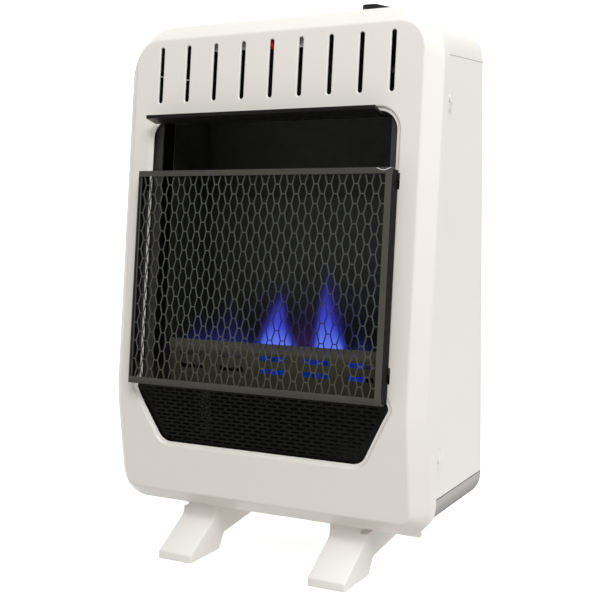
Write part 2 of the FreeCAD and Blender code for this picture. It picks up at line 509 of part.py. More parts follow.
# ---------------------------------------------------------------------------
# Burner
# ---------------------------------------------------------------------------
ports = [block("port_%d_%d_%d" % (g, r, i), ("%d*port_pitch + %g - 4.6" % (g - 2, (i - 1) * 10.6), "%d*port_pitch + %g + 4.6" % (g - 2, (i - 1) * 10.6)), ("shield_y - 5", "shield_y + 8"),
               ("%g" % (204.2 + 14 * r), "%g" % (209.8 + 14 * r))) for g in range(5) for r in range(2) for i in range(3)]
node("burner_shield", cut("burner_shield_cut", fuse("burner_shield_form", block("shield_face", ("-shield_half", "shield_half"), ("shield_y", "shield_y + gauge"), ("floor_z + gauge", "shield_top")),
                                                    block("shield_foot", ("-shield_half", "shield_half"), ("shield_y - 9", "shield_y + gauge/2"), ("floor_z + gauge", "floor_z + 2*gauge"))), *ports))
flame_slots = [block("flame_slot_%d_%d" % (g, i), ("%d*port_pitch + %g - 1" % (g - 2, (i - 3) * 5.0), "%d*port_pitch + %g + 1" % (g - 2, (i - 3) * 5.0)), ("burner_y - 6", "burner_y + 6"),
                     ("burner_z + burner_r - 6", "burner_z + burner_r + 4")) for g in range(5) for i in range(7)]
tube = fuse("burner_tube_form", rod("burner_skin", "x", "burner_r", ("-burner_half", "burner_half"), "burner_y", "burner_z"),
            rod("burner_venturi", "x", "7.5", ("burner_half - 2", "box_half + 8"), "burner_y", "burner_z"))
node("burner_tube", cut("burner_tube_cut", tube, rod("burner_void", "x", "burner_r - 1", ("-burner_half + 1", "burner_half - 1"), "burner_y", "burner_z"),
                        rod("venturi_void", "x", "6.5", ("burner_half - 6", "box_half + 10"), "burner_y", "burner_z"), *flame_slots))
for side, sx in (("left", -1), ("right", 1)):
    x = ("%d*108 - 9" % sx, "%d*108 + 9" % sx)
    saddle = cut("saddle_cut_" + side, block("saddle_web_" + side, ("%d*108 - 0.8" % sx, "%d*108 + 0.8" % sx), ("burner_y - 12", "burner_y + 12"), ("floor_z + gauge", "burner_z - 6")),
                 rod("saddle_seat_" + side, "x", "burner_r", ("%d*108 - 20" % sx, "%d*108 + 20" % sx), "burner_y", "burner_z"))
    node("burner_bracket_" + side, fuse("saddle_" + side, saddle, block("saddle_foot_" + side, x, ("burner_y - 12", "burner_y + 12"), ("floor_z + gauge", "floor_z + 2*gauge"))))
hexnut = doc.addObject("Part::Prism", "injector_hex")
hexnut.Polygon = 6
hexnut.Circumradius = 7
hexnut.Placement = FreeCAD.Placement(V(0, 0, 0), AXES["x"])
hexnut.setExpression("Height", E("8"))
for ax, c in zip("xyz", ("box_half + 12", "burner_y", "burner_z")):
    hexnut.setExpression("Placement.Base." + ax, E(c))
node("injector", cut("injector_cut", fuse("injector_form", hexnut, rod("injector_nose", "x", "5", ("box_half + 2", "box_half + 13"), "burner_y", "burner_z"),
                                          rod("injector_tail", "x", "5.5", ("box_half + 19", "box_half + 25"), "burner_y", "burner_z")),
                     rod("injector_bore", "x", "0.6", ("box_half", "box_half + 30"), "burner_y", "burner_z")))

# pilot set with oxygen-sensing burner, electrode and thermocouple on one bracket
node("pilot_bracket", cut("pilot_bracket_cut", fuse("pilot_bracket_form", block("pb_shelf", ("-102", "-58"), ("-5", "14"), ("206", "207.5")),
                                                    block("pb_leg", ("-102", "-58"), ("12.5", "14"), ("floor_z + gauge", "207"))),
                          rod("pb_h1", "z", "4.2", "-80", "4", ("200", "212")), rod("pb_h2", "z", "3.1", "-94", "4", ("200", "212")), rod("pb_h3", "z", "2.6", "-66", "4", ("200", "212"))))
node("pilot_burner", cut("pilot_cut", fuse("pilot_form", rod("pilot_barrel", "z", "4.2", "-80", "4", ("195", "228")), rod("pilot_collar", "z", "6", "-80", "4", ("207.5", "211")),
                                           block("pilot_hood", ("-86", "-74"), ("0", "8"), ("228", "229.2"))), rod("pilot_port", "z", "1.5", "-80", "4", ("215", "228"))))
node("electrode_insulator", fuse("electrode_form", rod("el_low", "z", "3.1", "-94", "4", ("195", "222")), rod("el_collar", "z", "4.4", "-94", "4", ("207.5", "212"))))
node("electrode_tip", fuse("electrode_wire", rod("el_tip", "z", "1", "-94", "4", ("222", "232")), rod("el_bend", "x", "1", ("-94", "-87.5"), "4", "231")))
node("thermocouple", fuse("thermocouple_form", rod("tc_rod", "z", "2.6", "-66", "4", ("195", "230")), rod("tc_collar", "z", "4", "-66", "4", ("207.5", "211"))))

# ---------------------------------------------------------------------------
# Gas train
# ---------------------------------------------------------------------------
valve_body = fuse("valve_form", block("valve_block", ("knob_x - 22", "knob_x + 22"), ("ctrl_y - 20", "ctrl_y + 20"), ("500", "545")),
                  rod("valve_bonnet", "z", "12", "knob_x", "ctrl_y", ("544", "556")))
node("gas_valve", cut("valve_cut", valve_body, rod("rotor_void", "z", "9.05", "knob_x", "ctrl_y", ("504.7", "540.3")), rod("stem_void", "z", "3.5", "knob_x", "ctrl_y", ("530", "560"))))
node("valve_rotor", cut("rotor_cut", rod("rotor_plug", "z", "9", "knob_x", "ctrl_y", ("505", "540")), rod("rotor_bore", "z", "stem_r + 0.05", "knob_x", "ctrl_y", ("509", "545")),
                        rod("rotor_port", "x", "2.5", ("knob_x - 12", "knob_x - 4"), "ctrl_y", "522")))
node("valve_stem", rod("stem_rod", "z", "stem_r", "knob_x", "ctrl_y", ("514", "knob_low + 4")))
# knob: round skirt and a grip that slopes down to one end
knob_sk = pad("knob_grip", "XZ", [("knob_x - knob_r + 0.6", "knob_low + 2.6"), ("knob_x - knob_r + 1.4", "knob_high"), ("knob_x - 2", "knob_high - 0.2"),
                                  ("knob_x + knob_r - 1", "knob_low + 3.6"), ("knob_x + knob_r - 0.6", "knob_low + 2.6")], "ctrl_y - 4.5", "ctrl_y + 4.5")
round_edges(knob_sk, "1.2", lambda m, d: abs(d.x) > 0.5 and m.z > 589, "grip")
node("knob", cut("knob_cut", fuse("knob_form", rod("knob_skirt", "z", "knob_r", "knob_x", "ctrl_y", ("knob_low", "knob_low + 3.2")), knob_sk),
                 rod("knob_bore", "z", "stem_r", "knob_x", "ctrl_y", ("knob_low - 1", "knob_low + 4"))))
node("dial_plate", cut("dial_cut", rod("dial_disc", "z", "27", "knob_x", "ctrl_y", ("cap_top", "cap_top + 0.6")), rod("dial_hole", "z", "8", "knob_x", "ctrl_y", ("570", "590"))))
node("piezo_igniter", cut("piezo_cut", fuse("piezo_form", rod("piezo_barrel", "z", "piezo_r", "piezo_x", "piezo_y", ("516", "cap_top")), rod("piezo_collar", "z", "12.5", "piezo_x", "piezo_y", ("cap_top", "cap_top + 2"))),
                          rod("piezo_void", "z", "button_r + 0.35", "piezo_x", "piezo_y", ("559", "590"))))
node("piezo_nut", cut("piezo_nut_cut", rod("piezo_nut_disc", "z", "13.5", "piezo_x", "piezo_y", ("cap_top - gauge - 5", "cap_top - gauge")), rod("piezo_nut_hole", "z", "piezo_r", "piezo_x", "piezo_y", ("570", "590"))))
node("piezo_button", rod("piezo_plunger", "z", "button_r", "piezo_x", "piezo_y", ("566", "button_high")))

node("regulator", fuse("regulator_form", rod("reg_disc", "z", "26", "inlet_x", "reg_y - 6", ("112", "130")), rod("reg_cap", "z", "14", "inlet_x", "reg_y - 6", ("130", "140")),
                       block("reg_block", ("inlet_x - 14", "inlet_x + 14"), ("reg_y - 20", "reg_y + 24"), ("92", "113"))))
inlet_hex = doc.addObject("Part::Prism", "inlet_hex")
inlet_hex.Polygon = 6
inlet_hex.Circumradius = 12
inlet_hex.Placement = FreeCAD.Placement(V(0, 0, 0), AXES["y"])
inlet_hex.setExpression("Height", E("8"))
for ax, c in zip("xyz", ("inlet_x", "reg_y + 24", "inlet_z")):
    inlet_hex.setExpression("Placement.Base." + ax, E(c))
node("gas_inlet", cut("inlet_cut", fuse("inlet_form", inlet_hex, rod("inlet_nipple", "y", "inlet_r", "inlet_x", ("reg_y + 31", "back_y - 0.6"), "inlet_z")),
                      rod("inlet_bore", "y", "5.5", "inlet_x", ("reg_y + 23", "back_y + 5"), "inlet_z")))


def pipe(name, r, pts, bend):
    """Round tube along straight runs joined by tangent arcs."""
    P = [V(*p) for p in pts]
    edges, at = [], P[0]
    for i in range(1, len(P) - 1):
        d0, d1 = (P[i] - P[i - 1]).normalize(), (P[i + 1] - P[i]).normalize()
        turn = math.acos(max(-1, min(1, d0.dot(d1))))
        t = min(bend * math.tan(turn / 2), 0.45 * (P[i] - P[i - 1]).Length, 0.45 * (P[i + 1] - P[i]).Length)
        rr = t / math.tan(turn / 2)
        a, b = P[i] - d0 * t, P[i] + d1 * t
        c = P[i] + (d1 - d0).normalize() * (rr / math.cos(turn / 2))
        mid = c + (P[i] - c).normalize() * rr
        edges += [Part.LineSegment(at, a).toShape(), Part.Arc(a, mid, b).toShape()]
        at = b
    edges.append(Part.LineSegment(at, P[-1]).toShape())
    path = Part.Wire(edges)
    spine = solid_feature(name + "_path", path)
    ring = doc.addObject("Part::Circle", name + "_ring")
    ring.Radius = r
    ring.Placement = FreeCAD.Placement(P[0], Rot(V(0, 0, 1), (P[1] - P[0]).normalize()))
    doc.recompute()
    sw = doc.addObject("Part::Sweep", name + "_sweep")
    sw.Sections = [ring]
    sw.Spine = (spine, ["Edge%d" % (i + 1) for i in range(len(edges))])
    sw.Solid = True
    sw.Frenet = False
    sw.Transition = "Right corner"
    doc.recompute()
    ratio = sw.Shape.Volume / (math.pi * r * r * path.Length)
    print("pipe", name, "length %.0f" % path.Length, "volume ratio %.4f" % ratio)
    return sw


bh, by, bz = v("box_half"), v("burner_y"), v("burner_z")
kx, cy = v("knob_x"), v("ctrl_y")
ix, ry = v("inlet_x"), v("reg_y")
node("burner_feed_tube", pipe("burner_feed", 4, [(bh + 25, by, bz), (bh + 36, by, bz), (bh + 36, by, 480), (bh + 36, 6, 524), (kx + 22, 6, 524)], 11))
node("inlet_pipe", pipe("inlet_run", 5, [(ix + 14, ry + 4, 103), (164, ry + 4, 103), (164, ry + 4, 470), (164, 27, 512), (kx + 22, 27, 512)], 14))
node("pilot_tube", pipe("pilot_run", 2, [(-80, 4, 195), (-80, 4, 160), (-80, 74, 160), (-80, 74, 555), (-80, -20, 555), (60, -20, 555), (60, 8, 530), (kx - 22, 8, 530)], 12))
node("thermocouple_lead", pipe("tc_run", 1.3, [(-66, 4, 195), (-66, 4, 150), (-66, 82, 150), (-66, 82, 546), (-66, -14, 546), (50, -14, 546), (50, 20, 512), (kx - 22, 20, 512)], 10))
node("igniter_lead", pipe("spark_run", 1.7, [(-94, 4, 195), (-94, 4, 170), (-94, 68, 170), (-94, 68, 470), (-4, 66, 500), (-4, 10, 561.5), (-3.2, -27.2, 561.3), (-3.2, -27.2, 550.2), (-3.2, 8, 550.2), (v("piezo_x"), v("piezo_y"), 490), (v("piezo_x"), v("piezo_y"), 516)], 5))

# ---------------------------------------------------------------------------
# Labels, checks and output
# ---------------------------------------------------------------------------
doc.recompute()
for label, o in nodes.items():
    o.Label = label
doc.recompute()
bad = [o.Name for o in doc.Objects if any(s in ("Invalid", "Error") for s in o.State)]
for label, o in nodes.items():
    s = o.Shape
    if s.isNull() or not s.isValid() or s.Volume <= 0 or not s.Solids:
        bad.append("%s: null %s valid %s volume %s" % (label, s.isNull(), s.isNull() or s.isValid(), None if s.isNull() else s.Volume))
if bad:
    raise SystemExit("failed objects: %s" % bad)
os.makedirs("parts", exist_ok=True)
for label, o in nodes.items():
    o.Shape.exportStep("parts/%s.step" % label)
    b = o.Shape.BoundBox
    print("%-22s solids %d  volume %10.1f  x %.1f %.1f  y %.1f %.1f  z %.1f %.1f" % (label, len(o.Shape.Solids), o.Shape.Volume, b.XMin, b.XMax, b.YMin, b.YMax, b.ZMin, b.ZMax))
print(len(nodes), "nodes")
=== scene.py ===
import math

import bmesh
import bpy
from mathutils import Matrix, Vector
from mathutils.geometry import delaunay_2d_cdt


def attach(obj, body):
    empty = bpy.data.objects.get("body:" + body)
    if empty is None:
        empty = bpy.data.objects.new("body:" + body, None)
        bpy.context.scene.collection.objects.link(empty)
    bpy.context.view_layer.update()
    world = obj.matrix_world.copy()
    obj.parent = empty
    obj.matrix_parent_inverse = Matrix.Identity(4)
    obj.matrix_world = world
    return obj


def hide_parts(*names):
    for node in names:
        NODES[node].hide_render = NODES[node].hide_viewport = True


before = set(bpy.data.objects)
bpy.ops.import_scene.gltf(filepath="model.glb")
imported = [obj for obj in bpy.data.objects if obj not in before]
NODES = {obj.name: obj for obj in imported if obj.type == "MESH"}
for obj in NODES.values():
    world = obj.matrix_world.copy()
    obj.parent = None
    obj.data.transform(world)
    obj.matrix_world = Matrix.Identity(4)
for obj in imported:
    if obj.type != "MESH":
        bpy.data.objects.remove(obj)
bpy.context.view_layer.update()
SCENE = bpy.context.scene
MM = 0.001


# ---------------------------------------------------------------------------
# Materials
# ---------------------------------------------------------------------------
def lin(r, g, b):
    """8-bit display colour to linear."""
    out = []
    for c in (r, g, b):
        c /= 255.0
        out.append(c / 12.92 if c <= 0.04045 else ((c + 0.055) / 1.055) ** 2.4)
    return tuple(out) + (1.0,)


def scaled(c, k):
    return tuple(min(1.0, x * k) for x in c[:3]) + (1.0,)


class Nodes:
    """Small wrapper to wire a material's nodes."""

    def __init__(self, name):
        self.mat = bpy.data.materials.new(name)
        self.mat.use_nodes = True
        self.tree = self.mat.node_tree
        self.bsdf = self.tree.nodes["Principled BSDF"]
        self.coords = self.tree.nodes.new("ShaderNodeTexCoord")

    def add(self, kind, **props):
        n = self.tree.nodes.new(kind)
        for k, val in props.items():
            setattr(n, k, val)
        return n

    def link(self, a, b):
        self.tree.links.new(a, b)

    def noise(self, scale, detail=4.0, rough=0.55, stretch=None):
        n = self.add("ShaderNodeTexNoise")
        n.inputs["Scale"].default_value = scale
        n.inputs["Detail"].default_value = detail
        n.inputs["Roughness"].default_value = rough
        src = self.coords.outputs["Object"]
        if stretch:
            m = self.add("ShaderNodeMapping")
            m.inputs["Scale"].default_value = stretch
            self.link(src, m.inputs["Vector"])
            src = m.outputs["Vector"]
        self.link(src, n.inputs["Vector"])
        return n.outputs["Fac"]

    def ramp(self, fac, stops):
        r = self.add("ShaderNodeValToRGB")
        els = r.color_ramp.elements
        while len(els) < len(stops):
            els.new(0.5)
        for e, (p, c) in zip(els, stops):
            e.position = p
            e.color = c
        self.link(fac, r.inputs["Fac"])
        return r.outputs["Color"]

    def span(self, fac, a, b, lo, hi, smooth=False):
        m = self.add("ShaderNodeMapRange")
        m.interpolation_type = "SMOOTHSTEP" if smooth else "LINEAR"
        m.inputs["From Min"].default_value = a
        m.inputs["From Max"].default_value = b
        m.inputs["To Min"].default_value = lo
        m.inputs["To Max"].default_value = hi
        self.link(fac, m.inputs["Value"])
        return m.outputs["Result"]

    def math(self, op, a, b=None):
        m = self.add("ShaderNodeMath", operation=op)
        for sock, val in zip(m.inputs, (a, b)):
            if val is None:
                continue
            if isinstance(val, (int, float)):
                sock.default_value = val
            else:
                self.link(val, sock)
        return m.outputs["Value"]

    def mix(self, fac, a, b):
        m = self.add("ShaderNodeMix", data_type="RGBA")
        ins = [s for s in m.inputs if s.enabled]
        for sock, val in zip(ins, (fac, a, b)):
            if isinstance(val, tuple):
                sock.default_value = val
            elif isinstance(val, (int, float)):
                sock.default_value = val
            else:
                self.link(val, sock)
        return [s for s in m.outputs if s.enabled][0]

    def bump(self, height, strength, dist):
        b = self.add("ShaderNodeBump")
        b.inputs["Strength"].default_value = strength
        b.inputs["Distance"].default_value = dist
        self.link(height, b.inputs["Height"])
        self.link(b.outputs["Normal"], self.bsdf.inputs["Normal"])

    def axes(self, sock):
        s = self.add("ShaderNodeSeparateXYZ")
        self.link(sock, s.inputs["Vector"])
        return s.outputs["X"], s.outputs["Y"], s.outputs["Z"]


def finish_of(n, color, rough, metallic=0.0, spec=0.5, vary=0.03, vary_scale=9.0, rough_vary=0.06, rough_scale=60.0, bump=0.08, bump_scale=900.0,
              bump_dist=0.0003, stretch=None, coat=0.0):
    """Base of every finish: slow colour drift, uneven gloss and a fine surface texture."""
    b = n.bsdf
    drift = n.noise(vary_scale, 5.0, 0.6, stretch)
    col = n.ramp(drift, [(0.28, scaled(color, 1.0 - vary)), (0.72, scaled(color, 1.0 + vary))])
    n.link(col, b.inputs["Base Color"])
    gloss = n.noise(rough_scale, 4.0, 0.6, stretch)
    n.link(n.span(gloss, 0.3, 0.7, max(0.02, rough - rough_vary), min(1.0, rough + rough_vary)), b.inputs["Roughness"])
    b.inputs["Metallic"].default_value = metallic
    b.inputs["Specular IOR Level"].default_value = spec
    if coat:
        b.inputs["Coat Weight"].default_value = coat
        b.inputs["Coat Roughness"].default_value = 0.12
    n.bump(n.noise(bump_scale, 3.0, 0.5, stretch), bump, bump_dist)
    return col


def enamel(name, color, inner=None, rough=0.34, under=0.0):
    """Powder enamel with orange peel; inner chooses how the unpainted inside faces are told apart, and they get dark
    grey as painted shade; under darkens faces turned downwards as painted shade.
    """
    n = Nodes(name)
    col = finish_of(n, color, rough, vary=0.012, vary_scale=6.0, rough_vary=0.05, rough_scale=40.0, bump=0.10, bump_scale=420.0, bump_dist=0.00025)
    specks = n.span(n.noise(1500.0, 2.0, 0.5), 0.72, 0.80, 0.0, 1.0, True)
    col = n.mix(n.math("MULTIPLY", specks, 0.06), col, scaled(color, 0.55))
    if inner:
        nx, ny, nz = n.axes(n.coords.outputs["Normal"])
        px, py, pz = n.axes(n.coords.outputs["Object"])
        if inner == "front":
            inside = n.span(ny, 0.15, 0.35, 0.0, 1.0)
        elif inner == "back":
            inside = n.span(ny, -0.3, -0.6, 0.0, 1.0)
        else:
            away = n.math("ADD", n.math("MULTIPLY", nx, n.math("SIGN", px)), n.math("MULTIPLY", nz, n.math("SIGN", n.math("SUBTRACT", pz, 0.3))))
            inside = n.span(away, -0.15, -0.45, 0.0, 1.0)
        # painted shade: the unpainted inside faces turn dark grey, standing in for the shade inside the closed case
        col = n.mix(inside, col, lin(46, 45, 43))
        if inner == "front":
            # painted shadow: a dark strip on the lip beside the guard's left cheek stands in for the shadow gap there
            line = n.math("MULTIPLY", n.span(px, -0.1526, -0.1522, 0.0, 1.0), n.span(px, -0.1505, -0.1500, 1.0, 0.0))
            line = n.math("MULTIPLY", line, n.math("MULTIPLY", n.span(pz, 0.190, 0.196, 0.0, 1.0), n.span(pz, 0.414, 0.420, 1.0, 0.0)))
            col = n.mix(line, col, lin(30, 28, 26))
    if under:
        # painted shade: faces turned downwards are darkened; on the case finish only past 150 mm from the middle
        nx, ny, nz = n.axes(n.coords.outputs["Normal"])
        low = n.span(nz, -0.12, -0.85, 0.0, under)
        if inner == "case":
            low = n.math("MULTIPLY", low, n.span(n.math("ABSOLUTE", px), 0.150, 0.158, 0.0, 1.0))
        col = n.mix(low, col, scaled(color, 0.14))
    n.link(col, n.bsdf.inputs["Base Color"])
    return n.mat


WHITE = lin(238, 234, 227)
M = {}
# painted shade: under darkens the front panel's downward faces, such as the bottom bevel
M["white_front"] = enamel("white_enamel_front", WHITE, "front", 0.34, 0.22)
M["white_case"] = enamel("white_enamel_case", WHITE, "case")
M["white_back"] = enamel("white_enamel_back", lin(232, 229, 223), "back")
M["white_plain"] = enamel("white_enamel_plain", lin(236, 233, 226))
M["white_foot"] = enamel("white_moulded_foot", lin(247, 244, 238), None, 0.42)
# painted shade: a greyer base than the white enamel, and much darker downward faces at the rounded edges, for the
# shade under the heater
M["pan"] = enamel("white_enamel_pan_greyed_as_shade", lin(200, 197, 194), "case", 0.48, 0.80)
M["pan"].node_tree.nodes["Principled BSDF"].inputs["Specular IOR Level"].default_value = 0.03


def black_enamel(name, color, rough=0.42, dust=0.25, spec=0.28):
    """Heat-proof black enamel, faintly uneven, with a little pale dust in patches."""
    n = Nodes(name)
    col = finish_of(n, color, rough, spec=spec, vary=0.16, vary_scale=14.0, rough_vary=0.10, rough_scale=90.0, bump=0.16, bump_scale=700.0, bump_dist=0.0002)
    haze = n.span(n.noise(35.0, 6.0, 0.65), 0.50, 0.74, 0.0, dust, True)
    n.link(n.mix(haze, col, lin(62, 60, 54)), n.bsdf.inputs["Base Color"])
    return n.mat


M["black"] = black_enamel("black_enamel", lin(24, 24, 22))
M["black_fire"] = black_enamel("black_enamel_firebox", lin(30, 31, 25), 0.55, 0.18)
M["black_deep"] = black_enamel("black_enamel_baffle", lin(17, 17, 15), 0.6, 0.10)


def hood_enamel():
    """Black enamel, paler brown-grey under its left end; its top faces painted pale grey as painted light."""
    n = Nodes("black_enamel_hood")
    col = finish_of(n, lin(12, 11, 9), 0.45, spec=0.22, vary=0.16, vary_scale=14.0, rough_vary=0.10, rough_scale=90.0, bump=0.16, bump_scale=700.0, bump_dist=0.0002)
    px, py, pz = n.axes(n.coords.outputs["Object"])
    nx, ny, nz = n.axes(n.coords.outputs["Normal"])
    under = n.math("MULTIPLY", n.span(nz, -0.4, -0.7, 0.0, 1.0), n.span(px, -0.131, -0.1365, 0.0, 1.0, True))
    col = n.mix(under, col, lin(92, 81, 69))
    # painted light: the top faces turn pale grey, so they throw light onto the panel just above
    n.link(n.mix(n.span(nz, 0.4, 0.8, 0.0, 1.0), col, lin(112, 110, 104)), n.bsdf.inputs["Base Color"])
    return n.mat


M["hood"] = hood_enamel()
M["grille"] = black_enamel("black_enamel_grille", lin(12, 12, 10), 0.60, 0.05, 0.07)


def fire_wall():
    """Firebox cheek: dark inside, its front flange a shade paler."""
    n = Nodes("black_enamel_cheek")
    col = finish_of(n, lin(28, 29, 22), 0.55, vary=0.16, vary_scale=14.0, rough_vary=0.10, rough_scale=90.0, bump=0.16, bump_scale=700.0, bump_dist=0.0002)
    nx, ny, nz = n.axes(n.coords.outputs["Normal"])
    n.link(n.mix(n.span(ny, -0.6, -0.85, 0.0, 1.0), col, lin(50, 49, 47)), n.bsdf.inputs["Base Color"])
    return n.mat


M["fire_wall"] = fire_wall()


def guard_finish(name, color):
    """Satin enamel toned brown by heat towards the bottom, with worn edges showing metal."""
    n = Nodes(name)
    col = finish_of(n, color, 0.38, vary=0.10, vary_scale=25.0, rough_vary=0.08, rough_scale=150.0, bump=0.12, bump_scale=900.0, bump_dist=0.00015)
    px, py, pz = n.axes(n.coords.outputs["Object"])
    low = n.span(pz, 0.205, 0.19, 0.0, 0.75, True)
    col = n.mix(low, col, lin(52, 45, 39))
    worn = n.span(n.noise(260.0, 5.0, 0.7), 0.62, 0.78, 0.0, 0.35, True)
    col = n.mix(worn, col, lin(120, 118, 110))
    n.link(col, n.bsdf.inputs["Base Color"])
    n.bsdf.inputs["Metallic"].default_value = 0.25
    return n.mat


M["guard"] = guard_finish("guard_enamel", lin(78, 76, 70))


def guard_cheek():
    """Guard side: the front strip like the rails, darker on the left cheek as painted shade; the side web painted
    near-black with little specular as painted shade.
    """
    n = Nodes("guard_enamel_cheek")
    col = finish_of(n, lin(76, 75, 68), 0.46, spec=0.3, vary=0.10, vary_scale=25.0, rough_vary=0.08, rough_scale=150.0, bump=0.12, bump_scale=900.0, bump_dist=0.00015)
    px, py, pz = n.axes(n.coords.outputs["Object"])
    # painted shade: the left cheek's front strip is darkened
    col = n.mix(n.span(px, -0.13, -0.14, 0.0, 0.8, True), col, lin(30, 28, 25))
    nx, ny, nz = n.axes(n.coords.outputs["Normal"])
    # painted shade: the side web, facing sideways, is painted near-black
    web = n.span(n.math("ABSOLUTE", nx), 0.55, 0.9, 0.0, 1.0)
    n.link(n.mix(web, col, lin(15, 13, 11)), n.bsdf.inputs["Base Color"])
    n.link(n.span(web, 0.0, 1.0, 0.3, 0.06), n.bsdf.inputs["Specular IOR Level"])
    return n.mat


M["cheek"] = guard_cheek()


def mesh_enamel():
    """Expanded mesh: grey-green enamel, browned low down; the strands in front of the flames are painted dark blue as
    painted light from the flames.
    """
    n = Nodes("guard_mesh_enamel")
    col = finish_of(n, lin(78, 81, 76), 0.44, spec=0.3, vary=0.12, vary_scale=25.0, rough_vary=0.08, rough_scale=150.0, bump=0.12, bump_scale=900.0, bump_dist=0.00015)
    px, py, pz = n.axes(n.coords.outputs["Object"])
    col = n.mix(n.span(pz, 0.238, 0.222, 0.0, 0.75, True), col, lin(76, 73, 60))
    # painted light: dark blue on the strands in front of the flames, for how they look against the glow
    tall = n.math("MULTIPLY", n.span(pz, 0.236, 0.243, 0.0, 1.0, True), n.span(pz, 0.264, 0.325, 1.0, 0.0, True))
    wide = n.math("MULTIPLY", n.span(px, -0.014, 0.016, 0.0, 1.0, True), n.span(px, 0.116, 0.134, 1.0, 0.0, True))
    col = n.mix(n.math("MULTIPLY", n.math("MULTIPLY", tall, wide), 0.88), col, lin(18, 20, 84))
    n.link(col, n.bsdf.inputs["Base Color"])
    return n.mat


M["mesh"] = mesh_enamel()


def metal(name, color, rough, grain=(1.0, 1.0, 1.0), heat=0.0):
    n = Nodes(name)
    col = finish_of(n, color, rough, metallic=1.0, vary=0.10, vary_scale=40.0, rough_vary=0.10, rough_scale=220.0, bump=0.10, bump_scale=700.0, bump_dist=0.0001, stretch=grain)
    if heat:
        patch = n.span(n.noise(22.0, 5.0, 0.6), 0.40, 0.66, 0.0, heat, True)
        n.link(n.mix(patch, col, lin(96, 84, 52)), n.bsdf.inputs["Base Color"])
    return n.mat


M["zinc"] = metal("zinc_plate", lin(188, 188, 184), 0.32)
# painted highlight: bright steel used only for the notch glint
M["bare"] = metal("bare_steel", lin(232, 232, 234), 0.30)
M["alu_steel"] = metal("aluminised_steel", lin(160, 158, 152), 0.45)
M["burner"] = metal("burner_steel", lin(150, 148, 138), 0.50, heat=0.5)
M["brass"] = metal("brass", lin(206, 172, 98), 0.28)
M["copper"] = metal("copper", lin(190, 122, 84), 0.34)
M["cast"] = metal("cast_aluminium", lin(178, 178, 176), 0.55)
M["tube"] = metal("aluminium_tube", lin(196, 196, 194), 0.36)
M["dull_tube"] = metal("tarnished_tube", lin(52, 51, 48), 0.62)
M["dull_copper"] = metal("tarnished_copper", lin(58, 44, 36), 0.62)


def galvanised():
    """Dull galvanised sheet, darker towards the back."""
    n = Nodes("galvanised_sheet")
    col = finish_of(n, lin(250, 248, 240), 0.62, metallic=0.0, spec=0.5, vary=0.10, vary_scale=60.0, rough_vary=0.10, rough_scale=220.0, bump=0.10, bump_scale=700.0, bump_dist=0.0001)
    px, py, pz = n.axes(n.coords.outputs["Object"])
    n.link(n.mix(n.span(py, -0.016, 0.004, 0.0, 1.0, True), col, lin(26, 25, 23)), n.bsdf.inputs["Base Color"])
    return n.mat


M["galvanised"] = galvanised()
M["dull_cast"] = metal("sooted_cast_aluminium", lin(44, 44, 43), 0.7)


def shield_steel():
    """Olive-grey stained plate in front of the burner, paler along its top band."""
    n = Nodes("heat_stained_steel")
    col = finish_of(n, lin(64, 63, 49), 0.6, metallic=0.0, spec=0.25, vary=0.14, vary_scale=30.0, rough_vary=0.1, rough_scale=120.0, bump=0.14, bump_scale=800.0, bump_dist=0.00015)
    stain = n.span(n.noise(18.0, 6.0, 0.65, (1.0, 1.0, 3.0)), 0.45, 0.70, 0.0, 0.5, True)
    px, py, pz = n.axes(n.coords.outputs["Object"])
    col = n.mix(stain, col, lin(46, 42, 34))
    n.link(n.mix(n.span(pz, 0.2245, 0.2285, 0.0, 0.7, True), col, lin(84, 82, 72)), n.bsdf.inputs["Base Color"])
    return n.mat


M["shield"] = shield_steel()


def plastic(name, color, rough, bump=0.2):
    n = Nodes(name)
    finish_of(n, color, rough, vary=0.06, vary_scale=50.0, rough_vary=0.06, rough_scale=300.0, bump=bump, bump_scale=1800.0, bump_dist=0.00012)
    return n.mat


M["knob"] = plastic("black_plastic", lin(30, 30, 36), 0.38)
M["dial"] = plastic("dial_face", lin(34, 34, 36), 0.5)
M["digit"] = plastic("dial_digits", lin(222, 220, 212), 0.5)
M["red"] = plastic("button_red", lin(170, 24, 22), 0.25)


def red_lead_darker_behind():
    """Red silicone lead, dark away from the front sheet."""
    n = Nodes("red_silicone_lead")
    col = finish_of(n, lin(226, 30, 34), 0.5, spec=0.3, vary=0.06, vary_scale=50.0, rough_vary=0.06, rough_scale=300.0, bump=0.2, bump_scale=1800.0, bump_dist=0.00012)
    px, py, pz = n.axes(n.coords.outputs["Object"])
    n.link(n.mix(n.span(py, -0.0195, -0.0175, 0.0, 1.0), col, lin(20, 19, 18)), n.bsdf.inputs["Base Color"])
    return n.mat


M["red_lead"] = red_lead_darker_behind()
M["ceramic"] = plastic("ceramic", lin(226, 222, 208), 0.7)

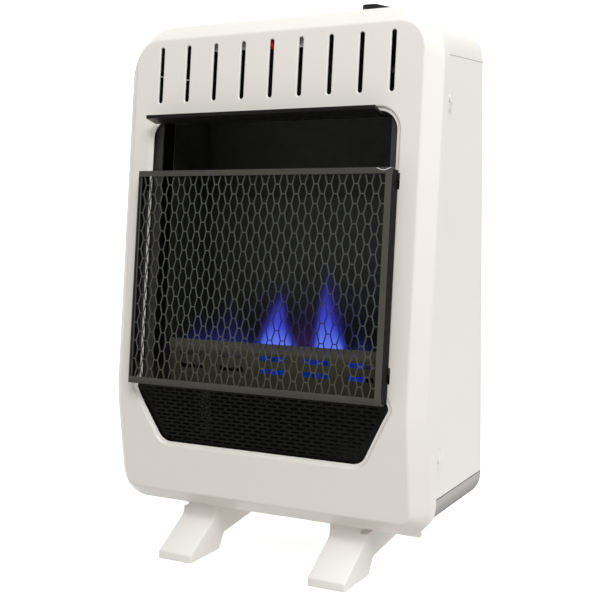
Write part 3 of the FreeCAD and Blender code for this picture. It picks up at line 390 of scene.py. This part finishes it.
WEAR = {
    "top_cap": "white_case", "side_panel_left": "white_case", "side_panel_right": "white_case", "base_pan": "pan", "back_panel": "white_back",
    "back_screws": "zinc", "side_screws": "white_plain", "foot_screws": "dull_tube", "firebox_side_left": "fire_wall", "firebox_side_right": "fire_wall",
    "firebox_back": "black_fire", "upper_baffle": "black_deep", "firebox_floor": "black_fire", "hood": "hood", "top_heat_shield": "galvanised", "lower_grille": "grille",
    "guard_mesh": "mesh", "guard_top_rail": "guard", "guard_bottom_rail": "guard", "guard_side_left": "cheek", "guard_side_right": "cheek",
    "burner_shield": "shield", "burner_tube": "burner", "burner_bracket_left": "alu_steel", "burner_bracket_right": "alu_steel", "injector": "brass",
    "pilot_bracket": "alu_steel", "pilot_burner": "brass", "electrode_insulator": "ceramic", "electrode_tip": "zinc", "thermocouple": "copper",
    "gas_valve": "dull_cast", "valve_rotor": "brass", "valve_stem": "zinc", "knob": "knob", "dial_plate": "dial", "piezo_igniter": "knob", "piezo_nut": "knob",
    "piezo_button": "red", "regulator": "dull_cast", "gas_inlet": "brass", "burner_feed_tube": "tube", "inlet_pipe": "dull_tube", "pilot_tube": "dull_tube",
    "thermocouple_lead": "dull_copper", "igniter_lead": "red_lead", "front_panel": "white_front", "foot_left": "white_foot", "foot_right": "white_foot",
}
for name, key in WEAR.items():
    o = NODES[name]
    o.data.materials.clear()
    o.data.materials.append(M[key])

# folded edges on the plain sheet-metal nodes
for name, width in (("guard_top_rail", 0.35), ("guard_bottom_rail", 0.35), ("guard_side_left", 0.3), ("guard_side_right", 0.3), ("hood", 0.35), ("knob", 0.4),
                    ("burner_shield", 0.2), ("dial_plate", 0.15)):
    m = NODES[name].modifiers.new("edge", "BEVEL")
    m.width = width * MM
    m.segments = 2
    m.limit_method = "ANGLE"
    m.angle_limit = math.radians(50)
    m.harden_normals = False


# ---------------------------------------------------------------------------
# Mesh helpers
# ---------------------------------------------------------------------------
def make(name, verts, faces, material, sharp=35.0):
    me = bpy.data.meshes.new(name)
    me.from_pydata([(x * MM, y * MM, z * MM) for x, y, z in verts], [], faces)
    me.validate()
    o = bpy.data.objects.new(name, me)
    SCENE.collection.objects.link(o)
    me.materials.append(material)
    smooth(me, sharp)
    return o


def smooth(me, sharp):
    for p in me.polygons:
        p.use_smooth = True
    me.set_sharp_from_angle(angle=math.radians(sharp))


def tidy_normals(o):
    bm = bmesh.new()
    bm.from_mesh(o.data)
    bmesh.ops.recalc_face_normals(bm, faces=bm.faces)
    bm.to_mesh(o.data)
    bm.free()


def baked(o, sharp):
    """Replaces the object's mesh by the result of its modifiers."""
    dg = bpy.context.evaluated_depsgraph_get()
    me = bpy.data.meshes.new_from_object(o.evaluated_get(dg))
    o.modifiers.clear()
    old = o.data
    o.data = me
    me.name = o.name
    bpy.data.meshes.remove(old)
    smooth(me, sharp)


def fillet_path(points, radii, n=6, closed=False):
    """Polyline with its corners rounded; each radius is cut down where its runs are short."""
    P = [Vector(p) for p in points]
    out = []
    m = len(P)
    for i in range(m):
        if not closed and i in (0, m - 1):
            out.append(tuple(P[i]))
            continue
        a, b, c = P[i - 1], P[i], P[(i + 1) % m]
        d0, d1 = (b - a).normalized(), (c - b).normalized()
        turn = math.acos(max(-1.0, min(1.0, d0.dot(d1))))
        if radii[i] <= 0 or turn < 1e-3:
            out.append(tuple(b))
            continue
        t = min(radii[i] * math.tan(turn / 2), 0.48 * (b - a).length, 0.48 * (c - b).length)
        r = t / math.tan(turn / 2)
        centre = b + (d1 - d0).normalized() * (r / math.cos(turn / 2))
        u = (b - d0 * t) - centre
        w = (b + d1 * t) - centre
        for k in range(n + 1):
            f = k / n
            s = math.sin(turn)
            q = (u * math.sin((1 - f) * turn) + w * math.sin(f * turn)) / s if s > 1e-6 else u.lerp(w, f)
            out.append(tuple(centre + q))
    return out


def inside(p, loop):
    x, y = p
    odd = False
    for i in range(len(loop)):
        (x0, y0), (x1, y1) = loop[i - 1], loop[i]
        if (y0 > y) != (y1 > y) and x < (x1 - x0) * (y - y0) / (y1 - y0) + x0:
            odd = not odd
    return odd


# ---------------------------------------------------------------------------
# Front pressing: bevelled, leaning, softly kinked sheet with rolled openings
# ---------------------------------------------------------------------------
HALF, TOP, BOT = 190.0, 584.3, 54.3
KY, KZ, LU, LL, KW = -82.5, 176.3, 0.1307, 0.0803, 15.8


def plane_y(z):
    t = z - KZ
    if t > KW:
        return KY + LU * t
    if t < -KW:
        return KY - LL * t
    return KY + (LU + LL) / (4 * KW) * (t + KW) ** 2 - LL * t


def rear_y(z):
    return -47.5 + (z - BOT) * (41.8 / 530.0)


def outer_ring(inset, rt, rb, n_arc=14, n_side=96, n_end=40):
    a, t, b = HALF - inset, TOP - inset, BOT + inset
    pts = []

    def arc(cx, cz, r, a0):
        for i in range(n_arc + 1):
            g = math.radians(a0 + 90.0 * i / n_arc)
            pts.append((cx + r * math.cos(g), cz + r * math.sin(g)))

    def run(p, q, n):
        for i in range(1, n):
            pts.append((p[0] + (q[0] - p[0]) * i / n, p[1] + (q[1] - p[1]) * i / n))

    arc(a - rb, b + rb, rb, -90)
    run((a, b + rb), (a, t - rt), n_side)
    arc(a - rt, t - rt, rt, 0)
    run((a - rt, t), (-a + rt, t), n_end)
    arc(-a + rt, t - rt, rt, 90)
    run((-a, t - rt), (-a, b + rb), n_side)
    arc(-a + rb, b + rb, rb, 180)
    run((-a + rb, b), (a - rb, b), n_end)
    return pts


BEVEL_W, BEVEL_D = 16.0, 15.0


def corner_radii(d):
    k = min(1.0, d / BEVEL_W)
    over = max(0.0, d - BEVEL_W)
    return 56 - 27 * k - over, 30 - 18 * k - 0.8 * over


verts, faces = [], []
bands = []


def add_loop(pts, depth):
    """Adds a closed loop of (x, z) points; depth is a number or a function of z giving y."""
    start = len(verts)
    for x, z in pts:
        verts.append((x, depth(z) if callable(depth) else plane_y(z) + depth, z))
    return list(range(start, len(verts)))


def stitch(a, b, flip=False):
    n = len(a)
    for i in range(n):
        q = [a[i], a[(i + 1) % n], b[(i + 1) % n], b[i]]
        faces.append(q[::-1] if flip else q)


profile = fillet_path([(0.0, 26.0), (0.0, BEVEL_D), (BEVEL_W, 0.0), (20.0, 0.0)], [0, 5.5, 9.0, 0], 7)
loops = []
ring0 = outer_ring(0.0, *corner_radii(0.0))
top_h = profile[1][1]
for f in (1.0, 0.62, 0.3):
    loops.append(add_loop(ring0, lambda z, f=f: plane_y(z) + top_h + (rear_y(z) - plane_y(z) - top_h) * f))
for d, h in profile[1:]:
    loops.append(add_loop(outer_ring(d, *corner_radii(d)), h))
for a, b in zip(loops, loops[1:]):
    stitch(a, b)
domain = outer_ring(20.0, *corner_radii(20.0))
outer_ids = loops[-1]

OPENING = [(-147.6, 480.0), (-147.6, 199.0), (-153.5, 186.5), (-121.7, 126.5), (121.7, 126.5), (153.5, 186.5), (147.6, 199.0), (147.6, 480.0)]
OPEN_R = [20.0, 10.0, 5.0, 17.0, 17.0, 5.0, 10.0, 20.0]
OPEN_RUNS = [70, 3, 16, 44, 16, 3, 70, 54]


def grown(poly, e):
    """Polygon (counter-clockwise in x, z) with each side moved outwards by e."""
    n = len(poly)
    lines = []
    for i in range(n):
        a, b = Vector(poly[i]), Vector(poly[(i + 1) % n])
        d = (b - a).normalized()
        lines.append((a + Vector((d.y, -d.x)) * e, d))
    out = []
    for i in range(n):
        (p, u), (q, w) = lines[i - 1], lines[i]
        t = ((q - p).x * w.y - (q - p).y * w.x) / (u.x * w.y - u.y * w.x)
        out.append(p + u * t)
    return out


def opening_ring(e, n_arc=10):
    P = grown(OPENING, e)
    m = len(P)
    arcs = []
    for i in range(m):
        a, b, c = P[i - 1], P[i], P[(i + 1) % m]
        d0, d1 = (b - a).normalized(), (c - b).normalized()
        turn = math.acos(max(-1.0, min(1.0, d0.dot(d1))))
        r = OPEN_R[i] + (e if d0.x * d1.y - d0.y * d1.x > 0 else -e)
        t = r * math.tan(turn / 2)
        centre = b + (d1 - d0).normalized() * (r / math.cos(turn / 2))
        u, w = (b - d0 * t) - centre, (b + d1 * t) - centre
        arcs.append([centre + (u * math.sin((1 - k / n_arc) * turn) + w * math.sin(k / n_arc * turn)) / math.sin(turn) for k in range(n_arc + 1)])
    pts = []
    for i in range(m):
        pts += [tuple(p) for p in arcs[i]]
        p, q = arcs[i][-1], arcs[(i + 1) % m][0]
        for k in range(1, OPEN_RUNS[i]):
            pts.append(tuple(p.lerp(q, k / OPEN_RUNS[i])))
    return pts


def step(t):
    return t * t * (3 - 2 * t)


LIP_W, LIP_STEP, LIP_D = 2.6, 2.6, 2.4
rim = [(0.0, LIP_D + 0.9), (0.15, LIP_D + 0.35), (0.6, LIP_D), (LIP_W, LIP_D)]
rim += [(LIP_W + LIP_STEP * k / 7, LIP_D * (1 - step(k / 7))) for k in range(1, 8)] + [(LIP_W + LIP_STEP + 1.0, 0.0)]
hole_loops, hole_ids = [], []
ids = None
for e, depth in rim:
    pts = opening_ring(e)
    new = add_loop(pts, depth)
    if ids:
        stitch(ids, new, True)
    ids = new
hole_loops.append(pts)
hole_ids.append(ids)

SLOT_LOW, SLOT_HIGH, SLOT_R = 498.5, 559.6, 2.6


def slot_ring(cx, e, n_arc=10, n_run=14):
    r = SLOT_R + e
    zl, zh = SLOT_LOW + SLOT_R, SLOT_HIGH - SLOT_R
    pts = []
    for i in range(n_arc + 1):
        g = math.radians(180 + 180.0 * i / n_arc)
        pts.append((cx + r * math.cos(g), zl + r * math.sin(g)))
    for i in range(1, n_run):
        pts.append((cx + r, zl + (zh - zl) * i / n_run))
    for i in range(n_arc + 1):
        g = math.radians(180.0 * i / n_arc)
        pts.append((cx + r * math.cos(g), zh + r * math.sin(g)))
    for i in range(1, n_run):
        pts.append((cx - r, zh - (zh - zl) * i / n_run))
    return pts


ROLL = 1.3
slot_rim = [(0.0, ROLL + 0.7)] + [(ROLL * (1 - math.cos(math.radians(90 * k / 7))), ROLL * (1 - math.sin(math.radians(90 * k / 7)))) for k in range(8)] + [(ROLL + 0.8, 0.0)]
for k in range(9):
    ids = None
    for e, depth in slot_rim:
        pts = slot_ring((k - 4) * 35.02, e)
        new = add_loop(pts, depth)
        if ids:
            stitch(ids, new, True)
        ids = new
    hole_loops.append(pts)
    hole_ids.append(ids)

flat, flat_ids, edges = [], [], []
for loop, ids in [(domain, outer_ids)] + list(zip(hole_loops, hole_ids)):
    s = len(flat)
    flat += [Vector(p) for p in loop]
    flat_ids += ids
    edges += [(s + i, s + (i + 1) % len(loop)) for i in range(len(loop))]
for z in range(64, 584, 8):
    for x in range(-176, 177, 8):
        p = (float(x), float(z))
        if not inside(p, domain) or any(inside(p, h) for h in hole_loops):
            continue
        near = min(min(math.hypot(p[0] - q[0], p[1] - q[1]) for q in loop) for loop in [domain] + hole_loops)
        if near > 4.0:
            flat.append(Vector(p))
            flat_ids.append(len(verts))
            verts.append((p[0], plane_y(p[1]), p[1]))
tri_v, tri_e, tri_f, orig_v, _, _ = delaunay_2d_cdt(flat, edges, [], 0, 1e-7)
ids = [flat_ids[o[0]] for o in orig_v]
for f in tri_f:
    c = (sum(tri_v[i].x for i in f) / len(f), sum(tri_v[i].y for i in f) / len(f))
    if inside(c, domain) and not any(inside(c, h) for h in hole_loops):
        faces.append([ids[i] for i in f])

front = make("front_shell", verts, faces, M["white_front"])
tidy_normals(front)
# the face points to -Y
front.data.update()
up = sum(p.normal.y * p.area for p in front.data.polygons)
if up > 0:
    front.data.flip_normals()
thick = front.modifiers.new("sheet", "SOLIDIFY")
thick.thickness = 1.5 * MM
thick.offset = -1.0
baked(front, 38)

# hook slots of the guard
LEAN = math.atan(LU)
UP_FRAME = Matrix.Translation((0, KY * MM, KZ * MM)) @ Matrix.Rotation(-LEAN, 4, "X")


def box_mesh(name, lo, hi, material, frame_matrix=None):
    v = [(x, y, z) for x in (lo[0], hi[0]) for y in (lo[1], hi[1]) for z in (lo[2], hi[2])]
    f = [(0, 1, 3, 2), (4, 6, 7, 5), (0, 4, 5, 1), (2, 3, 7, 6), (0, 2, 6, 4), (1, 5, 7, 3)]
    o = make(name, v, f, material)
    if frame_matrix is not None:
        o.data.transform(frame_matrix)
    tidy_normals(o)
    return o


cutters = []
for s0 in (228.0, 36.0):
    for sx in (-1, 1):
        x0, x1 = sorted((sx * 150.4, sx * 154.2))
        cutters.append(box_mesh("cutter", (x0, -6, s0 - 0.4), (x1, 14, s0 + 15.9), M["black"], UP_FRAME))
for c in cutters:
    b = front.modifiers.new("hook", "BOOLEAN")
    b.operation = "DIFFERENCE"
    b.solver = "MANIFOLD"
    b.object = c
baked(front, 38)
for c in cutters:
    bpy.data.objects.remove(c)


# ears that the side screws clamp
def prism_x(profile_yz, x0, x1):
    n = len(profile_yz)
    v = [(x0, y, z) for y, z in profile_yz] + [(x1, y, z) for y, z in profile_yz]
    f = [list(range(n))[::-1], list(range(n, 2 * n))] + [[i, (i + 1) % n, n + (i + 1) % n, n + i] for i in range(n)]
    return v, f


def rounded_prism(name, profile_yz, x0, x1, material, width, segments=3, sharp=50):
    v, f = prism_x(profile_yz, x0, x1)
    o = make(name, v, f, material)
    bm = bmesh.new()
    bm.from_mesh(o.data)
    bmesh.ops.recalc_face_normals(bm, faces=bm.faces)
    rim_edges = [e for e in bm.edges if abs(e.verts[0].co.x - e.verts[1].co.x) < 1e-7]
    bmesh.ops.bevel(bm, geom=rim_edges, offset=width * MM, segments=segments, profile=0.5, affect="EDGES", clamp_overlap=False)
    bm.to_mesh(o.data)
    bm.free()
    smooth(o.data, sharp)
    return o


parts = []
for z, y in ((491.0, -5.5), (130.0, -34.5)):
    for sx in (-1, 1):
        tab = fillet_path([(y - 15, z - 11), (y + 7, z - 11), (y + 7, z + 11), (y - 15, z + 11)], [1.0, 5, 5, 1.0], 5, True)
        x0, x1 = sorted((sx * 186.5, sx * 188.45))
        parts.append(rounded_prism("ear", tab, x0, x1, M["white_front"], 0.5, 2))
bpy.ops.object.select_all(action="DESELECT")
for p in parts:
    p.select_set(True)
front.select_set(True)
bpy.context.view_layer.objects.active = front
bpy.ops.object.join()
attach(front, "root")
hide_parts("front_panel")

# ---------------------------------------------------------------------------
# Feet: moulded, softly rounded
# ---------------------------------------------------------------------------
FOOT = [(-100.0, 0.0), (-42.5, 0.0), (-32.5, 16.5), (32.5, 24.0), (84.0, 16.5), (94.0, 0.0), (100.0, 0.0), (100.0, 9.5), (70.0, 37.0), (69.0, 56.0), (-46.9, 56.0),
        (-46.9, 53.5), (-49.7, 53.4), (-50.5, 39.0), (-100.0, 9.5)]
FOOT_R = [2.4, 2.4, 5.0, 14.0, 5.0, 2.4, 2.4, 3.0, 9.0, 2.2, 0.6, 0.6, 1.2, 10.0, 3.0]
for side, sx in (("left", -1), ("right", 1)):
    path = fillet_path(FOOT, FOOT_R, 6, True)
    foot = rounded_prism("foot_%s_form" % side, path, sx * 93 - 21.5, sx * 93 + 21.5, M["white_foot"], 1.8, 3)
    a, b = (sx * 107.5, sx * 122.0) if sx > 0 else (sx * 122.0, sx * 107.5)
    notch_box = rounded_prism("foot_%s_notch" % side, fillet_path([(-70.0, 46.0), (-14.0, 46.0), (-14.0, 64.0), (-70.0, 64.0)], [0.8] * 4, 3, True), a, b, M["white_foot"], 0.5, 2)
    tidy_normals(foot)
    tidy_normals(notch_box)
    cutter = foot.modifiers.new("notch", "BOOLEAN")
    cutter.operation = "DIFFERENCE"
    cutter.solver = "MANIFOLD"
    cutter.object = notch_box
    baked(foot, 35)
    bpy.data.objects.remove(notch_box)
    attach(foot, "root")
    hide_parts("foot_" + side)


# ---------------------------------------------------------------------------
# Flames: nested closed tongues, brightest inside and low down
# ---------------------------------------------------------------------------
def flame_skin(name, core, tip, power, alpha, z0, z1):
    n = Nodes(name)
    px, py, pz = n.axes(n.coords.outputs["Object"])
    around, along, flat = n.axes(n.coords.outputs["UV"])
    rise = n.span(pz, z0, z1, 0.0, 1.0)
    wob = n.math("ADD", rise, n.math("MULTIPLY", n.math("SUBTRACT", n.noise(55.0, 3.0, 0.5, (1.0, 1.0, 0.35)), 0.5), 0.42))
    # the tongue thins out towards its left and right edges
    broad = n.math("ABSOLUTE", n.math("SINE", n.math("MULTIPLY", around, 2 * math.pi)))
    b = n.bsdf
    b.inputs["Base Color"].default_value = (0.0, 0.0, 0.0, 1.0)
    b.inputs["Specular IOR Level"].default_value = 0.0
    b.inputs["Roughness"].default_value = 1.0
    n.link(n.ramp(wob, [(0.0, core), (0.40, tip), (1.0, scaled(tip, 0.5))]), b.inputs["Emission Color"])
    b.inputs["Emission Strength"].default_value = power
    fade = n.span(wob, 0.0, 0.98, alpha, 0.0, True)
    thin = n.math("POWER", broad, 2.4)
    n.link(n.math("MULTIPLY", fade, thin), b.inputs["Alpha"])
    return n.mat


def flame(name, x, y, z0, width, height, tips, level=1.0, shells=4, violet=False):
    """Tongue of flame as nested shells; tips lists (side offset, share of height, share of width)."""
    mats, verts, faces, slots, wraps = [], [], [], [], []
    for k in range(shells):
        f = 1.0 - k / shells
        core = lin(128, 164, 255) if k >= 1 else lin(64, 84, 236)
        tip = lin(62, 80, 222) if k >= 1 else lin(54, 42, 156)
        if violet:
            core, tip = lin(104, 46, 150), lin(78, 36, 112)
        mats.append(flame_skin("%s_skin_%d" % (name, k), core, tip, 1.15 * level ** 0.3, (0.66 + 0.12 * k) * min(1.0, level), z0 * MM, (z0 + height * (0.66 + 0.40 * f)) * MM))
        for dx, share, wide in tips:
            rows, cols = 18, 24
            top = height * share * (0.60 + 0.40 * f)
            start = len(verts)
            for r in range(rows + 1):
                t = r / rows
                half = 0.5 * width * wide * (0.35 + 0.65 * f) * (max(0.0, 1 - t) ** 0.75) * (1 - 0.16 * math.sin(math.pi * t))
                for c in range(cols):
                    g = 2 * math.pi * c / cols
                    sway = dx * (0.25 + 0.75 * t) + 1.2 * math.sin(5 * t + x)
                    verts.append((x + sway + half * math.cos(g), y + 0.30 * f * half * math.sin(g), z0 + top * t))
            for r in range(rows):
                for c in range(cols):
                    d = (c + 1) % cols
                    faces.append([start + r * cols + c, start + r * cols + d, start + (r + 1) * cols + d, start + (r + 1) * cols + c])
                    slots.append(k)
                    wraps.append([(c / cols, r / rows), ((c + 1) / cols, r / rows), ((c + 1) / cols, (r + 1) / rows), (c / cols, (r + 1) / rows)])
            faces.append([start + c for c in range(cols)][::-1])
            slots.append(k)
            wraps.append([(0.0, 0.0)] * cols)
    o = make(name, verts, faces, mats[0], 180)
    for m in mats[1:]:
        o.data.materials.append(m)
    uv = o.data.uv_layers.new(name="UVMap")
    for p, s, w in zip(o.data.polygons, slots, wraps):
        p.material_index = s
        for i, c in zip(p.loop_indices, w):
            uv.data[i].uv = c
    bm = bmesh.new()
    bm.from_mesh(o.data)
    bmesh.ops.remove_doubles(bm, verts=bm.verts, dist=1e-6)
    bm.to_mesh(o.data)
    bm.free()
    o.visible_shadow = False
    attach(o, "root")
    return o


flame("flame_3", -10.0, -22.0, 226.5, 64.0, 78.0, [(11.0, 1.0, 1.0)], 0.9, 3)
flame("flame_4", 59.0, -22.0, 226.5, 52.0, 100.0, [(-3.0, 1.0, 1.0)], 0.9, 3)
flame("flame_4_side", 63.0, -20.0, 226.5, 34.0, 112.0, [(2.0, 1.0, 1.0)], 0.30, 1)
flame("flame_between", 25.0, -16.0, 226.5, 62.0, 66.0, [(0.0, 1.0, 1.0)], 0.22, 1, True)
flame("flame_2", -68.0, -22.0, 226.5, 84.0, 62.0, [(4.0, 1.0, 1.0)], 0.16, 1)
flame("flame_1", -106.0, -20.0, 226.5, 72.0, 46.0, [(3.0, 1.0, 1.0)], 0.13, 1)
flame("flame_5", 98.0, -22.0, 226.5, 44.0, 40.0, [(0.0, 1.0, 1.0)], 0.08, 2)


# blue glow behind the ports of the lit groups
def glow_skin():
    n = Nodes("port_glow")
    b = n.bsdf
    b.inputs["Base Color"].default_value = (0.0, 0.0, 0.0, 1.0)
    b.inputs["Specular IOR Level"].default_value = 0.0
    n.link(n.ramp(n.noise(140.0, 3.0, 0.5), [(0.30, lin(0, 24, 92)), (0.50, lin(0, 62, 178)), (0.75, lin(38, 14, 170))]), b.inputs["Emission Color"])
    b.inputs["Emission Strength"].default_value = 0.62
    return n.mat


GLOW = glow_skin()
for g in (2, 3, 4):
    x = (g - 2) * 52.5
    w = 16.0 if g < 4 else 10.2
    sheet_profile = fillet_path([(-39.2, 203.5), (-38.2, 203.5), (-38.2, 224.5), (-39.2, 224.5)], [0.3] * 4, 2, True)
    o = rounded_prism("port_glow_%d" % (g + 1), sheet_profile, x - w + (-5.4 if g == 4 else 0), x + w + (-5.4 if g == 4 else 0), GLOW, 0.12, 1)
    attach(o, "root")


# painted highlight: a thin bright steel tube along the thumb notch on the guard's top rail stands in for a glint
def tube_along(name, pts, radius, material, frame_matrix, n=8):
    v, f = [], []
    for i, p in enumerate(pts):
        a, b = Vector(pts[max(0, i - 1)]), Vector(pts[min(len(pts) - 1, i + 1)])
        d = (b - a).normalized()
        e1 = Vector((0, 1, 0))
        e2 = d.cross(e1).normalized()
        r = radius * (0.35 if i in (0, len(pts) - 1) else 1.0)
        for k in range(n):
            g = 2 * math.pi * k / n
            v.append(tuple(Vector(p) + e1 * (r * math.cos(g)) + e2 * (r * math.sin(g))))
    for i in range(len(pts) - 1):
        for k in range(n):
            f.append([i * n + k, i * n + (k + 1) % n, (i + 1) * n + (k + 1) % n, (i + 1) * n + k])
    f.append(list(range(n))[::-1])
    f.append([(len(pts) - 1) * n + k for k in range(n)])
    o = make(name, v, f, material, 60)
    o.data.transform(frame_matrix)
    tidy_normals(o)
    return o


notch = [(135.2 + 16.4 * i / 14, -15.35, 247.4 - 2.3 * math.sin(math.pi * i / 14) ** 1.4) for i in range(15)]
worn = tube_along("guard_notch_glint", notch, 0.42, M["bare"], UP_FRAME)
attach(worn, "guard")

# ---------------------------------------------------------------------------
# Dial figures on the top
# ---------------------------------------------------------------------------
def digit(text, x, y, z, turn, size):
    cu = bpy.data.curves.new("digit", "FONT")
    cu.body = text
    cu.size = size * MM
    cu.extrude = 0.05 * MM
    cu.align_x = "CENTER"
    cu.align_y = "CENTER"
    t = bpy.data.objects.new("digit", cu)
    SCENE.collection.objects.link(t)
    bpy.context.view_layer.update()
    me = bpy.data.meshes.new_from_object(t.evaluated_get(bpy.context.evaluated_depsgraph_get()))
    bpy.data.objects.remove(t)
    o = bpy.data.objects.new("dial_digit_" + text, me)
    SCENE.collection.objects.link(o)
    me.materials.clear()
    me.materials.append(M["digit"])
    me.transform(Matrix.Translation((x * MM, y * MM, z * MM)) @ Matrix.Rotation(turn, 4, "Z"))
    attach(o, "root")
    return o


for k, text in enumerate(("0", "1", "2", "3", "4")):
    g = math.radians(180 + 30 - 45 * k)
    digit(text, 100 + 22.2 * math.cos(g), 17.5 + 22.2 * math.sin(g), 582.06, g - math.radians(90), 6.0)

# ---------------------------------------------------------------------------
# Floor, light and camera
# ---------------------------------------------------------------------------
cyc_v, cyc_f = [], []
sweep = [(-6000.0, 0.0), (2200.0, 0.0)] + [(2200 + 1500 * math.sin(math.radians(a)), 1500 - 1500 * math.cos(math.radians(a))) for a in range(6, 91, 6)] + [(3700.0, 6000.0)]
for x in (-9000.0, 9000.0):
    for y, z in sweep:
        cyc_v.append((x, y, z))
m = len(sweep)
cyc_f = [[i, m + i, m + i + 1, i + 1] for i in range(m - 1)]
paper = Nodes("paper_floor")
finish_of(paper, lin(246, 246, 245), 0.9, vary=0.004, vary_scale=2.0, rough_vary=0.03, bump=0.02)
paper.bsdf.inputs["Emission Color"].default_value = (1.0, 1.0, 1.0, 1.0)
paper.bsdf.inputs["Emission Strength"].default_value = 0.68
cyc = make("floor", cyc_v, cyc_f, paper.mat, 60)
cyc.data.transform(Matrix.Rotation(math.radians(28.96), 4, "Z"))

cyc.visible_diffuse = False

# soft surround, brighter from below where the pale floor would return light
world = bpy.data.worlds.new("studio")
SCENE.world = world
world.use_nodes = True
wt = world.node_tree
bg = wt.nodes["Background"]
way = wt.nodes.new("ShaderNodeTexCoord")
split = wt.nodes.new("ShaderNodeSeparateXYZ")
height = wt.nodes.new("ShaderNodeMapRange")
height.inputs["From Min"].default_value = -1.0
height.inputs["From Max"].default_value = 1.0
sky = wt.nodes.new("ShaderNodeValToRGB")
DOWN, UP = (0.88, 0.845, 0.81), (0.43, 0.43, 0.43)
stops = [(0.20, DOWN), (0.45, tuple(0.286 * c for c in DOWN)), (0.55, tuple(0.286 * c for c in UP)), (0.80, UP)]
while len(sky.color_ramp.elements) < len(stops):
    sky.color_ramp.elements.new(0.5)
for e, (pos, c) in zip(sky.color_ramp.elements, stops):
    e.position = pos
    e.color = c + (1.0,)
wt.links.new(way.outputs["Generated"], split.inputs["Vector"])
wt.links.new(split.outputs["Z"], height.inputs["Value"])
wt.links.new(height.outputs["Result"], sky.inputs["Fac"])
wt.links.new(sky.outputs["Color"], bg.inputs["Color"])
bg.inputs["Strength"].default_value = 1.0


def area(name, pos, target, size, power, color=(1, 1, 1)):
    d = bpy.data.lights.new(name, "AREA")
    d.shape = "RECTANGLE"
    d.size, d.size_y = size
    d.energy = power
    d.color = color
    o = bpy.data.objects.new(name, d)
    o.location = pos
    o.rotation_euler = (Vector(target) - Vector(pos)).to_track_quat("-Z", "Y").to_euler()
    SCENE.collection.objects.link(o)
    return o


area("key", (1.25, -1.75, 2.35), (0, 0, 0.4), (1.2, 1.2), 49)
area("side", (2.4, -0.3, 1.3), (0, 0, 0.35), (1.6, 1.6), 10.6, (0.86, 0.93, 1.0))
area("side_high", (2.2, 0.0, 2.2), (0, 0, 0.45), (1.4, 1.4), 7)
area("top", (0.2, -0.3, 2.4), (0, 0, 0.4), (2.0, 2.0), 10.0, (0.935, 0.97, 1.0))
area("paper_light", (-0.9, 2.2, 2.6), (-1.8, 3.2, 0.6), (3.0, 1.5), 58)

SCENE.view_settings.view_transform = "Standard"
SCENE.view_settings.look = "None"

yaw, pitch, roll = math.radians(28.961), math.radians(-6.223), math.radians(-0.683)
fwd = Vector((-math.sin(yaw) * math.cos(pitch), math.cos(yaw) * math.cos(pitch), math.sin(pitch)))
right = Vector((math.cos(yaw), math.sin(yaw), 0))
upv = right.cross(fwd)
r2 = right * math.cos(roll) + upv * math.sin(roll)
u2 = -right * math.sin(roll) + upv * math.cos(roll)
cam_data = bpy.data.cameras.new("camera")
cam_data.sensor_width = 36.0
cam_data.lens = 1116.5265 * 36.0 / 600.0
cam = bpy.data.objects.new("camera", cam_data)
SCENE.collection.objects.link(cam)
rotm = Matrix((r2, u2, -fwd)).transposed()
cam.matrix_world = Matrix.Translation((0.601155, -1.064559, 0.414033)) @ rotm.to_4x4()
SCENE.camera = cam
